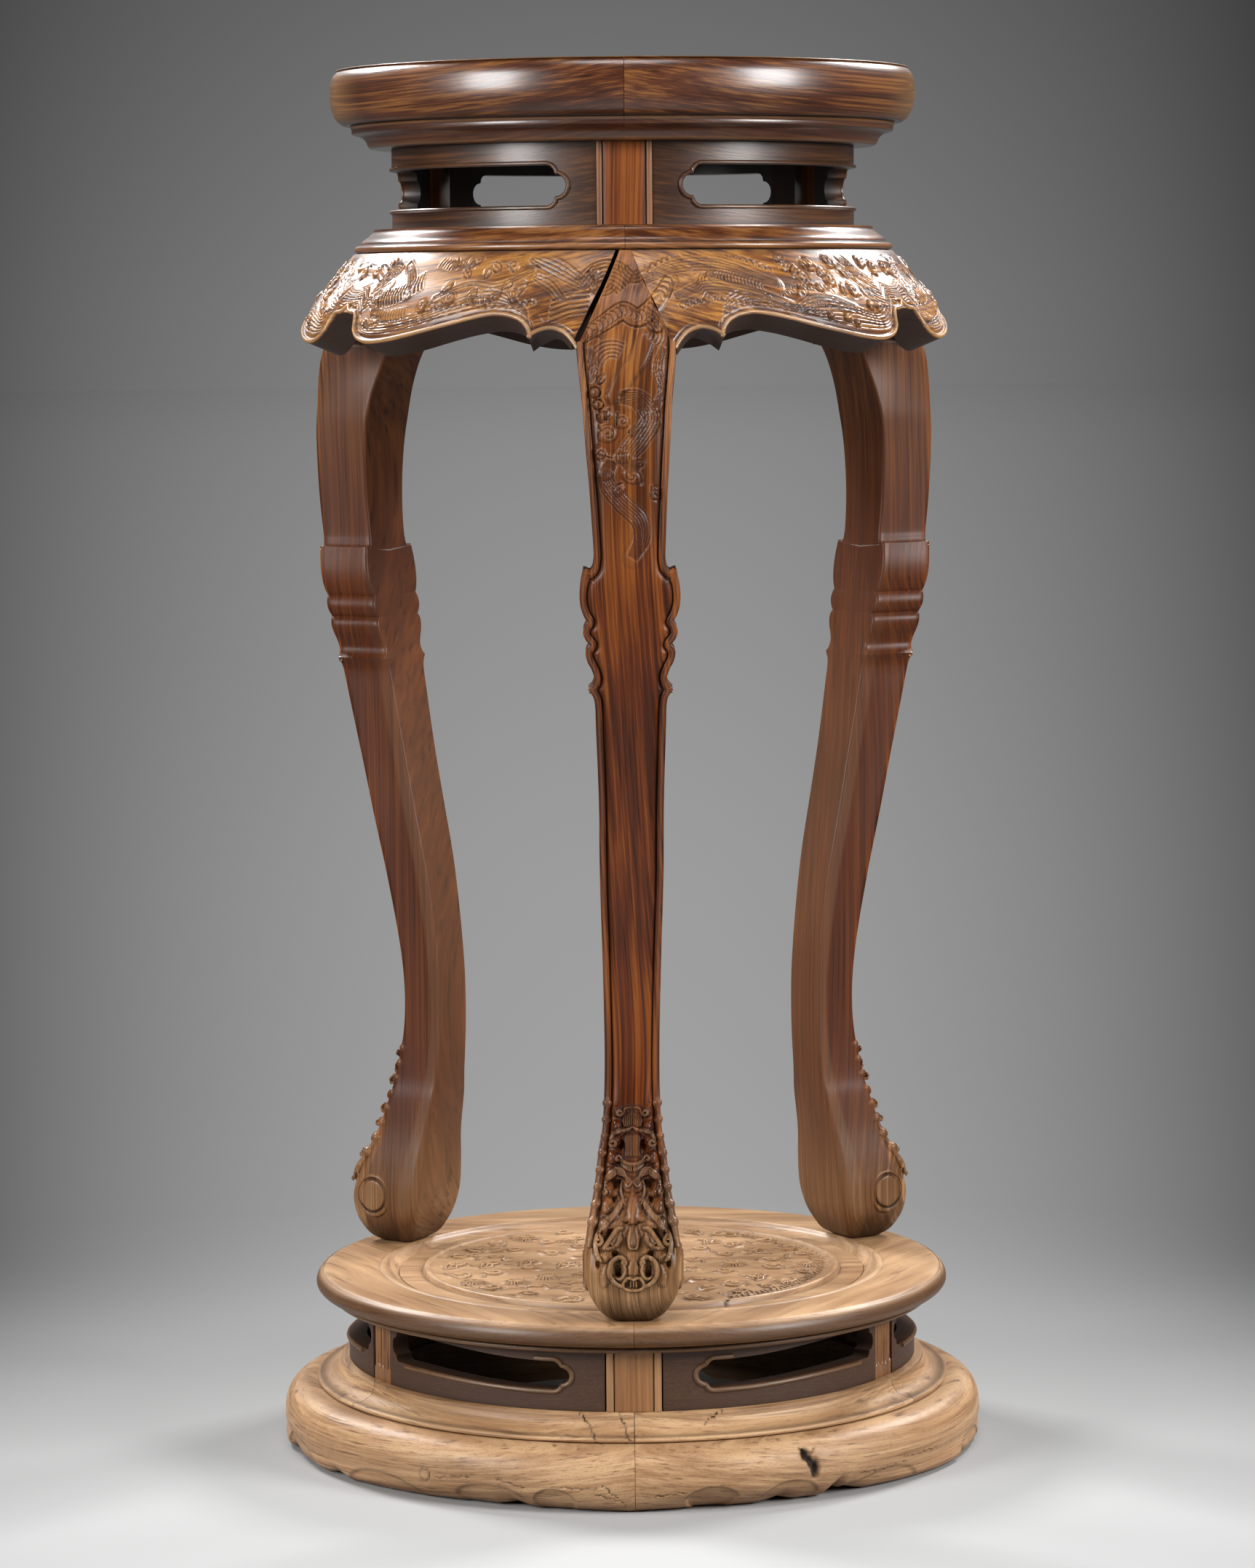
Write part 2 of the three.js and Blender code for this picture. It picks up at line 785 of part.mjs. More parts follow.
// Plinth: a heavy rounded block whose lower edge is notched between its feet
function plinthPiece() {
  const notches = [24, 44, 99];
  const profile = [
    [168, 0],
    [218, 0],
    ...ellipseArc(217, 20, plinthRadius - 217, 20, -65, 0, 3),
    [233.6, 32.6],
    [228.4, 38.6],
    [220, plinthTop],
    [168, plinthTop],
  ];
  const end = arcAngle(gap / 2, profile[0][0]);
  const angles = arcAngles(end, third - end).filter((angle) => notches.every((at) => Math.abs(angle - at) > 2.6));
  for (const at of notches) {
    angles.push(at - 2.5, at, at + 2.5);
  }
  angles.sort((a, b) => a - b);
  const rise = (angle) => {
    const distance = Math.min(...notches.map((at) => Math.abs(angle - at)));
    return notchRise * Math.max(0, 1 - distance / 5) ** 1.5;
  };
  return loft(
    angles.map(() => profile),
    (point, k) => polar(point.x, angles[k], point.y + rise(angles[k]) * Math.max(0, 1 - point.y / 20)),
  );
}

const finish = {
  top: { color: "#5a2c16", roughness: 0.32 },
  waist: { color: "#5b3018", roughness: 0.38 },
  apron: { color: "#7a4420", roughness: 0.36 },
  leg: { color: "#6b3b22", roughness: 0.38 },
  base: { color: "#9a7048", roughness: 0.45 },
  plinth: { color: "#b38f68", roughness: 0.6 },
  hidden: { color: "#5d4632", roughness: 0.75 },
};

const stand = new THREE.Group();

function addPiece(name, geometry, look, azimuth = 0) {
  const material = new THREE.MeshStandardMaterial({ ...finish[look], metalness: 0, flatShading: true });
  const mesh = new THREE.Mesh(geometry, material);
  mesh.name = name;
  mesh.rotation.z = radians(azimuth);
  stand.add(mesh);
}

const topRim = ringShare(topRimProfile, third);
const collar = collarPiece();
const waist = waistBoard();
const apron = apronPiece();
const baseRim = ringShare(baseRimProfile, third);
const plinth = plinthPiece();
for (const [side, azimuth] of Object.entries(thirdStart)) {
  addPiece("top_rim_" + side, topRim, "top", azimuth);
  addPiece("waist_board_" + side, waist, "waist", azimuth);
  addPiece("collar_" + side, collar, "waist", azimuth);
  addPiece("apron_" + side, apron, "apron", azimuth);
  addPiece("base_rim_" + side, baseRim, "base", azimuth);
  addPiece("base_strut_" + side, baseStrut(), "plinth", azimuth + third / 2);
  addPiece("plinth_" + side, plinth, "plinth", azimuth);
}

const leg = legPiece();
for (const [side, azimuth] of Object.entries(legAzimuth)) {
  addPiece("leg_" + side, leg, "leg", azimuth);
  addPiece("base_post_" + side, basePost(), "base", azimuth);
}

const boards = [baseBoard(), mirroredBaseBoard()];
const moulding = ringShare(baseMouldingProfile, third / 2);
Object.entries(sixthStart).forEach(([side, azimuth], i) => {
  addPiece("base_board_" + side, boards[i % 2], "base", azimuth);
  addPiece("base_moulding_" + side, moulding, "plinth", azimuth);
});

addPiece("top_panel", topPanel(), "top");
addPiece("top_batten", batten(272, topPanelLow - gap), "hidden");
addPiece("base_panel", basePanel(), "base");
addPiece("base_batten", batten(300, basePanelLow - gap), "hidden");

export default stand;
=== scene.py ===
# Round incense stand of carved hardwood: a moulded top over a slotted waist, carved aprons, three S-shaped
# legs on ball feet and a round slotted base. Sizes are in millimetres until a mesh is made.
import math
import bmesh
import bpy
import numpy as np
from mathutils import Matrix, Vector, kdtree


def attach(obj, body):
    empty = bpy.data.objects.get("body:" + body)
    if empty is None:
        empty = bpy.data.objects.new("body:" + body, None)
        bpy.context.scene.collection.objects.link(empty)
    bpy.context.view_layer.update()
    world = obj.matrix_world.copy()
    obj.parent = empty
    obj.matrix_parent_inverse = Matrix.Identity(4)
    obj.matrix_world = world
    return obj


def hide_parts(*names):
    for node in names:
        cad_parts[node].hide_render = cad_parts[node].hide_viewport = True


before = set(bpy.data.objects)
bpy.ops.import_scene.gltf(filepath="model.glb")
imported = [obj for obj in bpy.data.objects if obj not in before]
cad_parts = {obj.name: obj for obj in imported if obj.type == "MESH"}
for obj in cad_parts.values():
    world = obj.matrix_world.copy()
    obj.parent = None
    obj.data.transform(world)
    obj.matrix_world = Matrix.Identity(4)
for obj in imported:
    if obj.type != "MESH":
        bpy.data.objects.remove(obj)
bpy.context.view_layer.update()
mm = 0.001
legTurns = {"front": -90, "right": 30, "left": 150}
thirdTurns = {"right": -90, "back": 30, "left": 150}
sixthTurns = {"front_right": -90, "right": -30, "back_right": 30, "back_left": 90, "left": 150,
              "front_left": 210}


# Small tools

def linear(code):
    channels = [int(code[i:i + 2], 16) / 255 for i in (1, 3, 5)]
    return [c / 12.92 if c <= 0.04045 else ((c + 0.055) / 1.055) ** 2.4 for c in channels] + [1.0]


def addNode(tree, kind, inputs=None, **settings):
    node = tree.nodes.new(kind)
    for key, value in settings.items():
        setattr(node, key, value)
    for key, value in (inputs or {}).items():
        if isinstance(value, bpy.types.NodeSocket):
            tree.links.new(value, node.inputs[key])
        else:
            node.inputs[key].default_value = value
    return node


def calc(tree, operation, *values, clamp=False):
    # one sum on numbers or sockets
    return addNode(tree, "ShaderNodeMath", dict(enumerate(values)), operation=operation,
                   use_clamp=clamp).outputs[0]


def calcVector(tree, operation, *values):
    return addNode(tree, "ShaderNodeVectorMath", dict(enumerate(values)), operation=operation).outputs[0]


def scaled(tree, vector, factor):
    return addNode(tree, "ShaderNodeVectorMath", {0: vector, "Scale": factor}, operation="SCALE").outputs[0]


def axisOf(tree, vector, axis):
    return addNode(tree, "ShaderNodeSeparateXYZ", {0: vector}).outputs[axis]


def rescaled(tree, value, low, high, bottom=0.0, top=1.0, curve="LINEAR"):
    ends = {"Value": value, "From Min": low, "From Max": high, "To Min": bottom, "To Max": top}
    return addNode(tree, "ShaderNodeMapRange", ends, interpolation_type=curve).outputs[0]


def blended(tree, share, first, second, blend="MIX"):
    colours = {0: share, 6: first, 7: second}
    return addNode(tree, "ShaderNodeMix", colours, data_type="RGBA", blend_type=blend).outputs[2]


def polar(radius, angle, z):
    turn = np.radians(angle)
    return np.stack(np.broadcast_arrays(radius * np.cos(turn), radius * np.sin(turn), z), -1)


def curveAt(table, place, column=1):
    # a smooth cubic through the rows of a table
    rows = np.array(sorted(table))
    x, y = rows[:, 0], rows[:, column]
    slope = np.empty(len(x))
    slope[1:-1] = (y[2:] - y[:-2]) / (x[2:] - x[:-2])
    slope[0] = (y[1] - y[0]) / (x[1] - x[0])
    slope[-1] = (y[-1] - y[-2]) / (x[-1] - x[-2])
    place = np.clip(place, x[0], x[-1])
    k = np.clip(np.searchsorted(x, place) - 1, 0, len(x) - 2)
    length = x[k + 1] - x[k]
    t = (place - x[k]) / length
    start = (1 + 2 * t) * (1 - t) ** 2 * y[k] + t * (1 - t) ** 2 * length * slope[k]
    return start + t * t * (3 - 2 * t) * y[k + 1] + t * t * (t - 1) * length * slope[k + 1]


def linesAt(table, place, column=1):
    rows = np.array(sorted(table))
    return np.interp(place, rows[:, 0], rows[:, column])


def smoothStep(low, high, value):
    t = np.clip((value - low) / (high - low), 0, 1)
    return t * t * (3 - 2 * t)


def bell(value, centre, width):
    # 1 at the centre, falling away on both sides
    return np.exp(-((value - centre) / width) ** 2)


def cylindrical(points):
    # radius, azimuth in degrees and height of each point
    x, y, z = points.T
    return np.hypot(x, y), np.degrees(np.arctan2(y, x)), z


def sideways(line):
    # unit vectors to the left of a flat line's course
    along = np.gradient(line, axis=0)
    along /= np.linalg.norm(along, axis=1)[:, None]
    return np.stack([-along[:, 1], along[:, 0]], -1)


def ripple(x, y, seed, octaves=3):
    # gentle unevenness between about -1 and 1, the same on every run
    chance = np.random.default_rng(seed)
    total = 0 * x
    for octave in range(octaves):
        for _ in range(3):
            turn, phase = chance.uniform(0, math.tau, 2)
            course = x * math.cos(turn) + y * math.sin(turn)
            total = total + np.sin(course * 2 ** octave + phase) / 2 ** octave
    return total / 3


def ellipseArc(r, z, radiusR, radiusZ, start, end, steps):
    turn = np.radians(np.linspace(start, end, steps + 1))
    return list(zip(r + radiusR * np.cos(turn), z + radiusZ * np.sin(turn)))


def squareArc(r, z, radiusR, radiusZ, start, end, steps, power=2.6):
    # an arc with fuller shoulders than an ellipse's
    turn = np.radians(np.linspace(start, end, steps + 1))
    return list(zip(r + radiusR * np.cos(turn) ** (2 / power), z + radiusZ * np.sin(turn) ** (2 / power)))


def spline(points, steps):
    # a smooth line through a few points, with even steps between each two
    points = np.array(points, float)
    place = np.arange(len(points))
    fine = np.linspace(0, len(points) - 1, steps)
    return np.stack([curveAt(list(zip(place, points[:, k])), fine) for k in range(points.shape[1])], -1)


# meshes as plain arrays: points, faces, and how deep in a hollow (under 0) or on a crest (over 0) each is; the
# finishes paint shade and dirt into the hollows and a highlight and wear onto the crests
def part(points, quads, caps=(), hollow=0.0, tone=0.0):
    count = len(points)
    return {"points": np.asarray(points, float), "quads": np.asarray(quads, int).reshape(-1, 4),
            "caps": list(caps), "hollow": np.zeros(count) + hollow, "tone": np.zeros(count) + tone}


def loft(sections, hollow=0.0, tone=0.0):
    # skins closed outlines, given as one array of sections by points, and closes both ends
    rows, count = sections.shape[:2]
    index = np.arange(rows * count).reshape(rows, count)
    after = np.roll(index, -1, 1)
    quads = np.stack([index[:-1], after[:-1], after[1:], index[1:]], -1)
    flat = [np.ravel(v) if np.ndim(v) else v for v in (hollow, tone)]
    return part(sections.reshape(-1, 3), quads, [index[0][::-1].tolist(), index[-1].tolist()], *flat)


def turned(piece, angle):
    turn = math.radians(angle)
    spin = np.array([[math.cos(turn), -math.sin(turn), 0], [math.sin(turn), math.cos(turn), 0], [0, 0, 1]])
    return {**piece, "points": piece["points"] @ spin.T}


def arraysOf(mesh):
    points = np.empty(len(mesh.vertices) * 3)
    mesh.vertices.foreach_get("co", points)
    faces = [tuple(face.vertices) for face in mesh.polygons]
    quads = [face for face in faces if len(face) == 4]
    return part(points.reshape(-1, 3) / mm, quads, [face for face in faces if len(face) != 4])


def meshOf(name, parts):
    start, points, corners, sizes = 0, [], [], []
    for piece in parts:
        points.append(piece["points"])
        corners.append((piece["quads"] + start).ravel())
        sizes.append(np.full(len(piece["quads"]), 4))
        for cap in piece["caps"]:
            corners.append(np.array(cap) + start)
            sizes.append(np.array([len(cap)]))
        start += len(piece["points"])
    corners, sizes = np.concatenate(corners), np.concatenate(sizes)
    mesh = bpy.data.meshes.new(name)
    mesh.vertices.add(start)
    mesh.vertices.foreach_set("co", (np.concatenate(points) * mm).ravel())
    mesh.loops.add(len(corners))
    mesh.loops.foreach_set("vertex_index", corners.astype(np.int32))
    mesh.polygons.add(len(sizes))
    mesh.polygons.foreach_set("loop_start", (np.cumsum(sizes) - sizes).astype(np.int32))
    mesh.update(calc_edges=True)
    for key in ("hollow", "tone"):
        layer = mesh.attributes.new(key, "FLOAT", "POINT")
        layer.data.foreach_set("value", np.concatenate([piece[key] for piece in parts]).astype(np.float32))
    return mesh


def makePiece(name, parts, finish, nodes, along=None, offset=0.0, crease=32):
    # along: the azimuth that a level board's grain runs in, or None for a piece whose grain stands upright
    mesh = meshOf(name, parts)
    work = bmesh.new()
    work.from_mesh(mesh)
    bmesh.ops.remove_doubles(work, verts=work.verts, dist=0.004 * mm)
    bmesh.ops.dissolve_degenerate(work, edges=work.edges, dist=0.004 * mm)
    bmesh.ops.recalc_face_normals(work, faces=work.faces)
    work.to_mesh(mesh)
    work.free()
    points = np.empty(len(mesh.vertices) * 3)
    mesh.vertices.foreach_get("co", points)
    points = points.reshape(-1, 3)
    if along is None:
        grain = points[:, [2, 0, 1]]
    else:
        turn = math.radians(along)
        level = np.array([[math.cos(turn), math.sin(turn), 0], [0, 0, 1],
                          [-math.sin(turn), math.cos(turn), 0]])
        grain = points @ level.T
    grain = grain + np.array([offset, offset * 0.37, offset * 0.61])
    layer = mesh.attributes.new("grain", "FLOAT_VECTOR", "POINT")
    layer.data.foreach_set("vector", grain.astype(np.float32).ravel())
    mesh.polygons.foreach_set("use_smooth", np.ones(len(mesh.polygons), bool))
    mesh.set_sharp_from_angle(angle=math.radians(crease))
    mesh.materials.clear()
    mesh.materials.append(finish)
    piece = bpy.data.objects.new(name, mesh)
    bpy.context.scene.collection.objects.link(piece)
    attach(piece, "root")
    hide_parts(*nodes)
    return piece


# Geometry node trees: one sweeps a moulding round an arc, one lays a rounded bead along each line

def newTree(name, sockets):
    tree = bpy.data.node_groups.new(name, "GeometryNodeTree")
    tree.interface.new_socket("Geometry", in_out="INPUT", socket_type="NodeSocketGeometry")
    for title, kind in sockets.items():
        tree.interface.new_socket(title, in_out="INPUT", socket_type=kind)
    tree.interface.new_socket("Geometry", in_out="OUTPUT", socket_type="NodeSocketGeometry")
    return tree, addNode(tree, "NodeGroupInput").outputs


def endTree(tree, given, made):
    real = addNode(tree, "GeometryNodeRealizeInstances", {0: made})
    dressed = addNode(tree, "GeometryNodeSetMaterial",
                      {"Geometry": real.outputs[0], "Material": given["Finish"]})
    addNode(tree, "NodeGroupOutput", {0: dressed.outputs[0]})
    return tree


def mouldingTree():
    sockets = {"Radius": "NodeSocketFloat", "Start": "NodeSocketFloat", "Sweep": "NodeSocketFloat",
               "Steps": "NodeSocketInt", "Finish": "NodeSocketMaterial"}
    tree, given = newTree("mouldingSweep", sockets)
    arc = addNode(tree, "GeometryNodeCurveArc", {"Radius": given["Radius"], "Start Angle": given["Start"],
                                                 "Sweep Angle": given["Sweep"], "Resolution": given["Steps"]})
    upright = addNode(tree, "GeometryNodeSetCurveNormal", {"Curve": arc.outputs["Curve"]}, mode="Z_UP")
    outline = addNode(tree, "GeometryNodeMeshToCurve", {0: given["Geometry"]})
    swept = addNode(tree, "GeometryNodeCurveToMesh",
                    {"Curve": upright.outputs[0], "Profile Curve": outline.outputs[0],
                                                      "Fill Caps": True})
    return endTree(tree, given, swept.outputs[0])


def beadTree():
    sockets = {"Sides": "NodeSocketInt", "Finish": "NodeSocketMaterial"}
    tree, given = newTree("beadAlongLine", sockets)
    line = addNode(tree, "GeometryNodeMeshToCurve", {0: given["Geometry"]})
    width = addNode(tree, "GeometryNodeInputNamedAttribute", {"Name": "width"}, data_type="FLOAT")
    circle = addNode(tree, "GeometryNodeCurvePrimitiveCircle", {"Resolution": given["Sides"], "Radius": 1.0})
    swept = addNode(tree, "GeometryNodeCurveToMesh",
                    {"Curve": line.outputs[0], "Profile Curve": circle.outputs[0],
                                                      "Scale": width.outputs[0], "Fill Caps": True})
    return endTree(tree, given, swept.outputs[0])


def runTree(mesh, tree, values):
    holder = bpy.data.objects.new("growing", mesh)
    bpy.context.scene.collection.objects.link(holder)
    modifier = holder.modifiers.new("tree", "NODES")
    modifier.node_group = tree
    for socket in tree.interface.items_tree:
        if socket.in_out == "INPUT" and socket.name in values:
            modifier[socket.identifier] = values[socket.name]
    graph = bpy.context.evaluated_depsgraph_get()
    grown = bpy.data.meshes.new_from_object(holder.evaluated_get(graph), depsgraph=graph)
    holder.modifiers.clear()
    bpy.data.objects.remove(holder)
    made = arraysOf(grown)
    bpy.data.meshes.remove(grown)
    bpy.data.meshes.remove(mesh)
    return made


def beads(lines, finish, sides=8, hollow=0.35, tone=0.0):
    # lines: (points in mm, half widths in mm, closed or not)
    places, edges, widths = [], [], []
    for points, width, closed in lines:
        start = len(places)
        places.extend(np.asarray(points) * mm)
        widths.extend(np.zeros(len(points)) + np.asarray(width) * mm)
        edges.extend((start + i, start + i + 1) for i in range(len(points) - 1))
        if closed:
            edges.append((start + len(points) - 1, start))
    mesh = bpy.data.meshes.new("lines")
    mesh.from_pydata([tuple(p) for p in places], edges, [])
    layer = mesh.attributes.new("width", "FLOAT", "POINT")
    layer.data.foreach_set("value", np.array(widths, np.float32))
    made = runTree(mesh, beadSweep, {"Sides": sides, "Finish": finish})
    # beads are painted lighter along their whole length by the given value: painted highlight and wear on
    # their crests
    made["hollow"][:] = hollow
    made["tone"][:] = tone
    return made


def ringPart(profile, start, sweep, steps, finish):
    # the profile is a closed list of radius and height; the sweep runs from one azimuth over an angle
    reach = max(r for r, z in profile)
    count = len(profile)
    mesh = bpy.data.meshes.new("profile")
    mesh.from_pydata([((r - reach) * mm, -z * mm, 0) for r, z in profile],
                     [(i, (i + 1) % count) for i in range(count)], [])
    values = {"Radius": reach * mm, "Start": math.radians(start), "Sweep": math.radians(sweep), "Steps": steps,
              "Finish": finish}
    return runTree(mesh, mouldingSweep, values)


mouldingSweep = mouldingTree()
beadSweep = beadTree()


# Camera, light and floor

# focal length and sensor in mm, place in metres, turns in degrees
view = {"lens": 111.87, "sensor": 36, "place": (0, -3.266, 0.769), "tilt": 84.31, "roll": -0.45,
        "round": -0.35}


def addCamera():
    lens = bpy.data.cameras.new("camera")
    lens.lens = view["lens"]
    lens.sensor_width = view["sensor"]
    camera = bpy.data.objects.new("camera", lens)
    tilt, roll, turn = (Matrix.Rotation(math.radians(view[key]), 4, axis)
                        for key, axis in (("tilt", "X"), ("roll", "Z"), ("round", "Z")))
    camera.matrix_world = turn @ Matrix.Translation(view["place"]) @ (tilt @ roll)
    bpy.context.scene.collection.objects.link(camera)
    bpy.context.scene.camera = camera


studio = {
    # painted light on the paper: its colour at distances in metres from a point in front of the stand, far off
    # where it glows by itself and near by where the lamps light it too
    "front": 0.6,
    "sweep": [(0.9, "#c4c4c4"), (1.15, "#b0b0b0"), (1.45, "#a4a4a4"), (2.1, "#a0a0a0"), (3.9, "#9c9c9c"),
              (7.9, "#949494"), (24, "#8a8a8a"), (40, "#828282")],
    "paper": [(0.3, "#a0a0a0"), (0.49, "#9e9e9e"), (0.6, "#949494"), (0.94, "#7a7a7a"), (1.4, "#666666")],
    "litTo": 0.7, "fadedFrom": 1.35, "paperRoughness": 0.8,
    # the wall by how far up one looks, and the share of it left in the room in front
    "wall": [(-0.02, "#848484"), (0.0, "#808080"), (0.06, "#6b6b6b"), (0.3, "#6a6a6a"), (1.0, "#8a8a8a")],
    "room": 0.3, "roomEdge": 0.2,
    # the pool of light behind the stand: half width in metres, how fast it widens, how dark it gets beside it
    "pool": 0.36, "spread": 0.109, "reach": 1.25, "falloff": 0.42, "litFalloff": 0.16,
    # place, point aimed at, size in metres, power in watts
    "lamps": {"left_softbox": ((-2.06, -1.66, 1.35), (0, 0, 0.6), (0.9, 1.2), 82),
              "right_softbox": ((2.25, -1.4, 1.5), (0, 0, 0.6), (0.9, 1.2), 98),
              "left_rim": ((-1.5, 1.6, 2.35), (0, 0, 0.75), (0.8, 0.8), 100),
              "right_rim": ((1.5, 1.6, 2.35), (0, 0, 0.75), (0.8, 0.8), 85),
              "overhead": ((0, -0.9, 3.0), (0, -0.1, 0), (1.0, 1.0), 26)}}


def rampOf(tree, value, stops):
    # a colour ramp whose stops are given on the value's own scale
    low, high = stops[0][0], stops[-1][0]
    ramp = addNode(tree, "ShaderNodeValToRGB", {"Fac": rescaled(tree, value, low, high)})
    elements = ramp.color_ramp.elements
    elements[0].position, elements[1].position = 0, 1
    elements[0].color, elements[1].color = linear(stops[0][1]), linear(stops[-1][1])
    for place, colour in stops[1:-1]:
        elements.new((place - low) / (high - low)).color = linear(colour)
    return ramp.outputs["Color"]


def pooled(tree, place, grey, width, falloff):
    # darkens the paper and the wall to both sides of the pool of light, which widens behind the stand
    across = calc(tree, "ABSOLUTE", axisOf(tree, place, "X"))
    behind = calc(tree, "ABSOLUTE", axisOf(tree, place, "Y"))
    half = calc(tree, "MULTIPLY_ADD", behind, studio["spread"], width + 0.0001)
    share = calc(tree, "MINIMUM", calc(tree, "DIVIDE", across, half), studio["reach"])
    left = calc(tree, "MULTIPLY_ADD", calc(tree, "POWER", share, 2.0), -falloff, 1.0)
    return scaled(tree, grey, left)


def addWorld(scene):
    # a grey wall that darkens upwards from the floor's far edge, and a darker room in front of the stand
    world = bpy.data.worlds.new("studio")
    world.use_nodes = True
    tree = world.node_tree
    toward = addNode(tree, "ShaderNodeTexCoord").outputs["Generated"]
    grey = rampOf(tree, axisOf(tree, toward, "Z"), studio["wall"])
    wall = pooled(tree, toward, grey, 0.0, studio["falloff"])
    dim = rescaled(tree, axisOf(tree, toward, "Y"), -studio["roomEdge"], studio["roomEdge"], studio["room"])
    tree.links.new(scaled(tree, wall, dim), tree.nodes["Background"].inputs["Color"])
    scene.world = world


def addLamps(scene):
    for name, (place, aim, size, power) in studio["lamps"].items():
        light = bpy.data.lights.new(name, "AREA")
        light.shape = "RECTANGLE"
        light.size, light.size_y = size
        light.energy = power
        holder = bpy.data.objects.new(name, light)
        holder.location = place
        holder.rotation_euler = (Vector(aim) - holder.location).to_track_quat("-Z", "Y").to_euler()
        scene.collection.objects.link(holder)


def paperSweep():
    # paper with painted light: a pool of light painted round the stand, darker further off and to both sides,
    # and behind it an even grey that glows by itself
    paper = bpy.data.materials.new("paper_with_painted_light")
    paper.use_nodes = True
    tree = paper.node_tree
    tree.nodes.clear()
    place = addNode(tree, "ShaderNodeTexCoord").outputs["Object"]
    fromFront = calcVector(tree, "ADD", place, (0, studio["front"], 0))
    away = addNode(tree, "ShaderNodeVectorMath", {0: fromFront}, operation="LENGTH").outputs["Value"]
    stops = [(math.log10(reach), colour) for reach, colour in studio["sweep"]]
    grey = rampOf(tree, calc(tree, "LOGARITHM", away, 10.0), stops)
    far = pooled(tree, place, grey, studio["pool"], studio["falloff"])
    near = pooled(tree, place, rampOf(tree, away, studio["paper"]), studio["pool"], studio["litFalloff"])
    lit = addNode(tree, "ShaderNodeBsdfPrincipled",
                  {"Base Color": near, "Roughness": studio["paperRoughness"]})
    # the far paper glows instead of being lit: painted light
    even = addNode(tree, "ShaderNodeEmission", {"Color": far, "Strength": 1.0})
    share = rescaled(tree, away, studio["litTo"], studio["fadedFrom"], curve="SMOOTHSTEP")
    both = addNode(tree, "ShaderNodeMixShader", {0: share, 1: lit.outputs[0], 2: even.outputs[0]})
    addNode(tree, "ShaderNodeOutputMaterial", {"Surface": both.outputs[0]})
    return paper


def addStudio():
    scene = bpy.context.scene
    scene.view_settings.view_transform = "Standard"
    addWorld(scene)
    addLamps(scene)
    circle = bmesh.new()
    bmesh.ops.create_circle(circle, cap_ends=True, segments=96, radius=studio["sweep"][-1][0])
    mesh = bpy.data.meshes.new("floor")
    circle.to_mesh(mesh)
    circle.free()
    mesh.materials.append(paperSweep())
    floorObject = bpy.data.objects.new("floor", mesh)
    scene.collection.objects.link(floorObject)
    print("stage: camera, lights and floor")


# Wood finishes

def patinaAndShadeTones(tree, value, tone, look):
    # dark, middle and light wood by the value, and over them by the tone the patina colour, which also paints
    # shade on undersides
    ramp = addNode(tree, "ShaderNodeValToRGB", {"Fac": value})
    stops = ramp.color_ramp.elements
    stops[0].position, stops[0].color = 0.54, linear(look["dark"])
    stops[1].position, stops[1].color = 0.77, linear(look["light"])
    stops.new(0.65).color = linear(look["middle"])
    return blended(tree, tone, ramp.outputs[0], linear(look["patinaAndShade"]))


def noise(tree, vector, scale, detail, roughness=0.5):
    settings = {"Vector": vector, "Scale": scale, "Detail": detail, "Roughness": roughness}
    return addNode(tree, "ShaderNodeTexNoise", settings).outputs


def grainStreaks(tree, grain, look):
    # long soft streaks, fine fibres, veins and the short dashes of the pores, in layers that slant
    # through the board; the grain wanders a few millimetres off its line
    waver = noise(tree, grain, 6.0, 1.0)["Color"]
    centred = calcVector(tree, "SUBTRACT", waver, (0.5, 0.5, 0.5))
    bent = calcVector(tree, "MULTIPLY_ADD", centred, (look["waver"] * mm,) * 3, grain)
    turn = {"Vector": bent, "Angle": look["slant"]}
    slanted = addNode(tree, "ShaderNodeVectorRotate", turn, rotation_type="X_AXIS").outputs[0]
    streaks = {}
    for key, sizes in look["streaks"].items():
        stretched = calcVector(tree, "MULTIPLY", slanted, tuple(1 / (size * mm) for size in sizes))
        streaks[key] = noise(tree, stretched, 1.0, 2.0, 0.6)["Fac"]
    return streaks


def heightZones(tree, toned, value, tone, zones):
    # the colour changes with height from one wood tone to the next
    for low, high, second in zones:
        place = addNode(tree, "ShaderNodeTexCoord").outputs["Object"]
        rise = rescaled(tree, axisOf(tree, place, "Z"), low * mm, high * mm, curve="SMOOTHSTEP")
        toned = blended(tree, rise, toned, patinaAndShadeTones(tree, value, tone, woods[second]))
    return toned


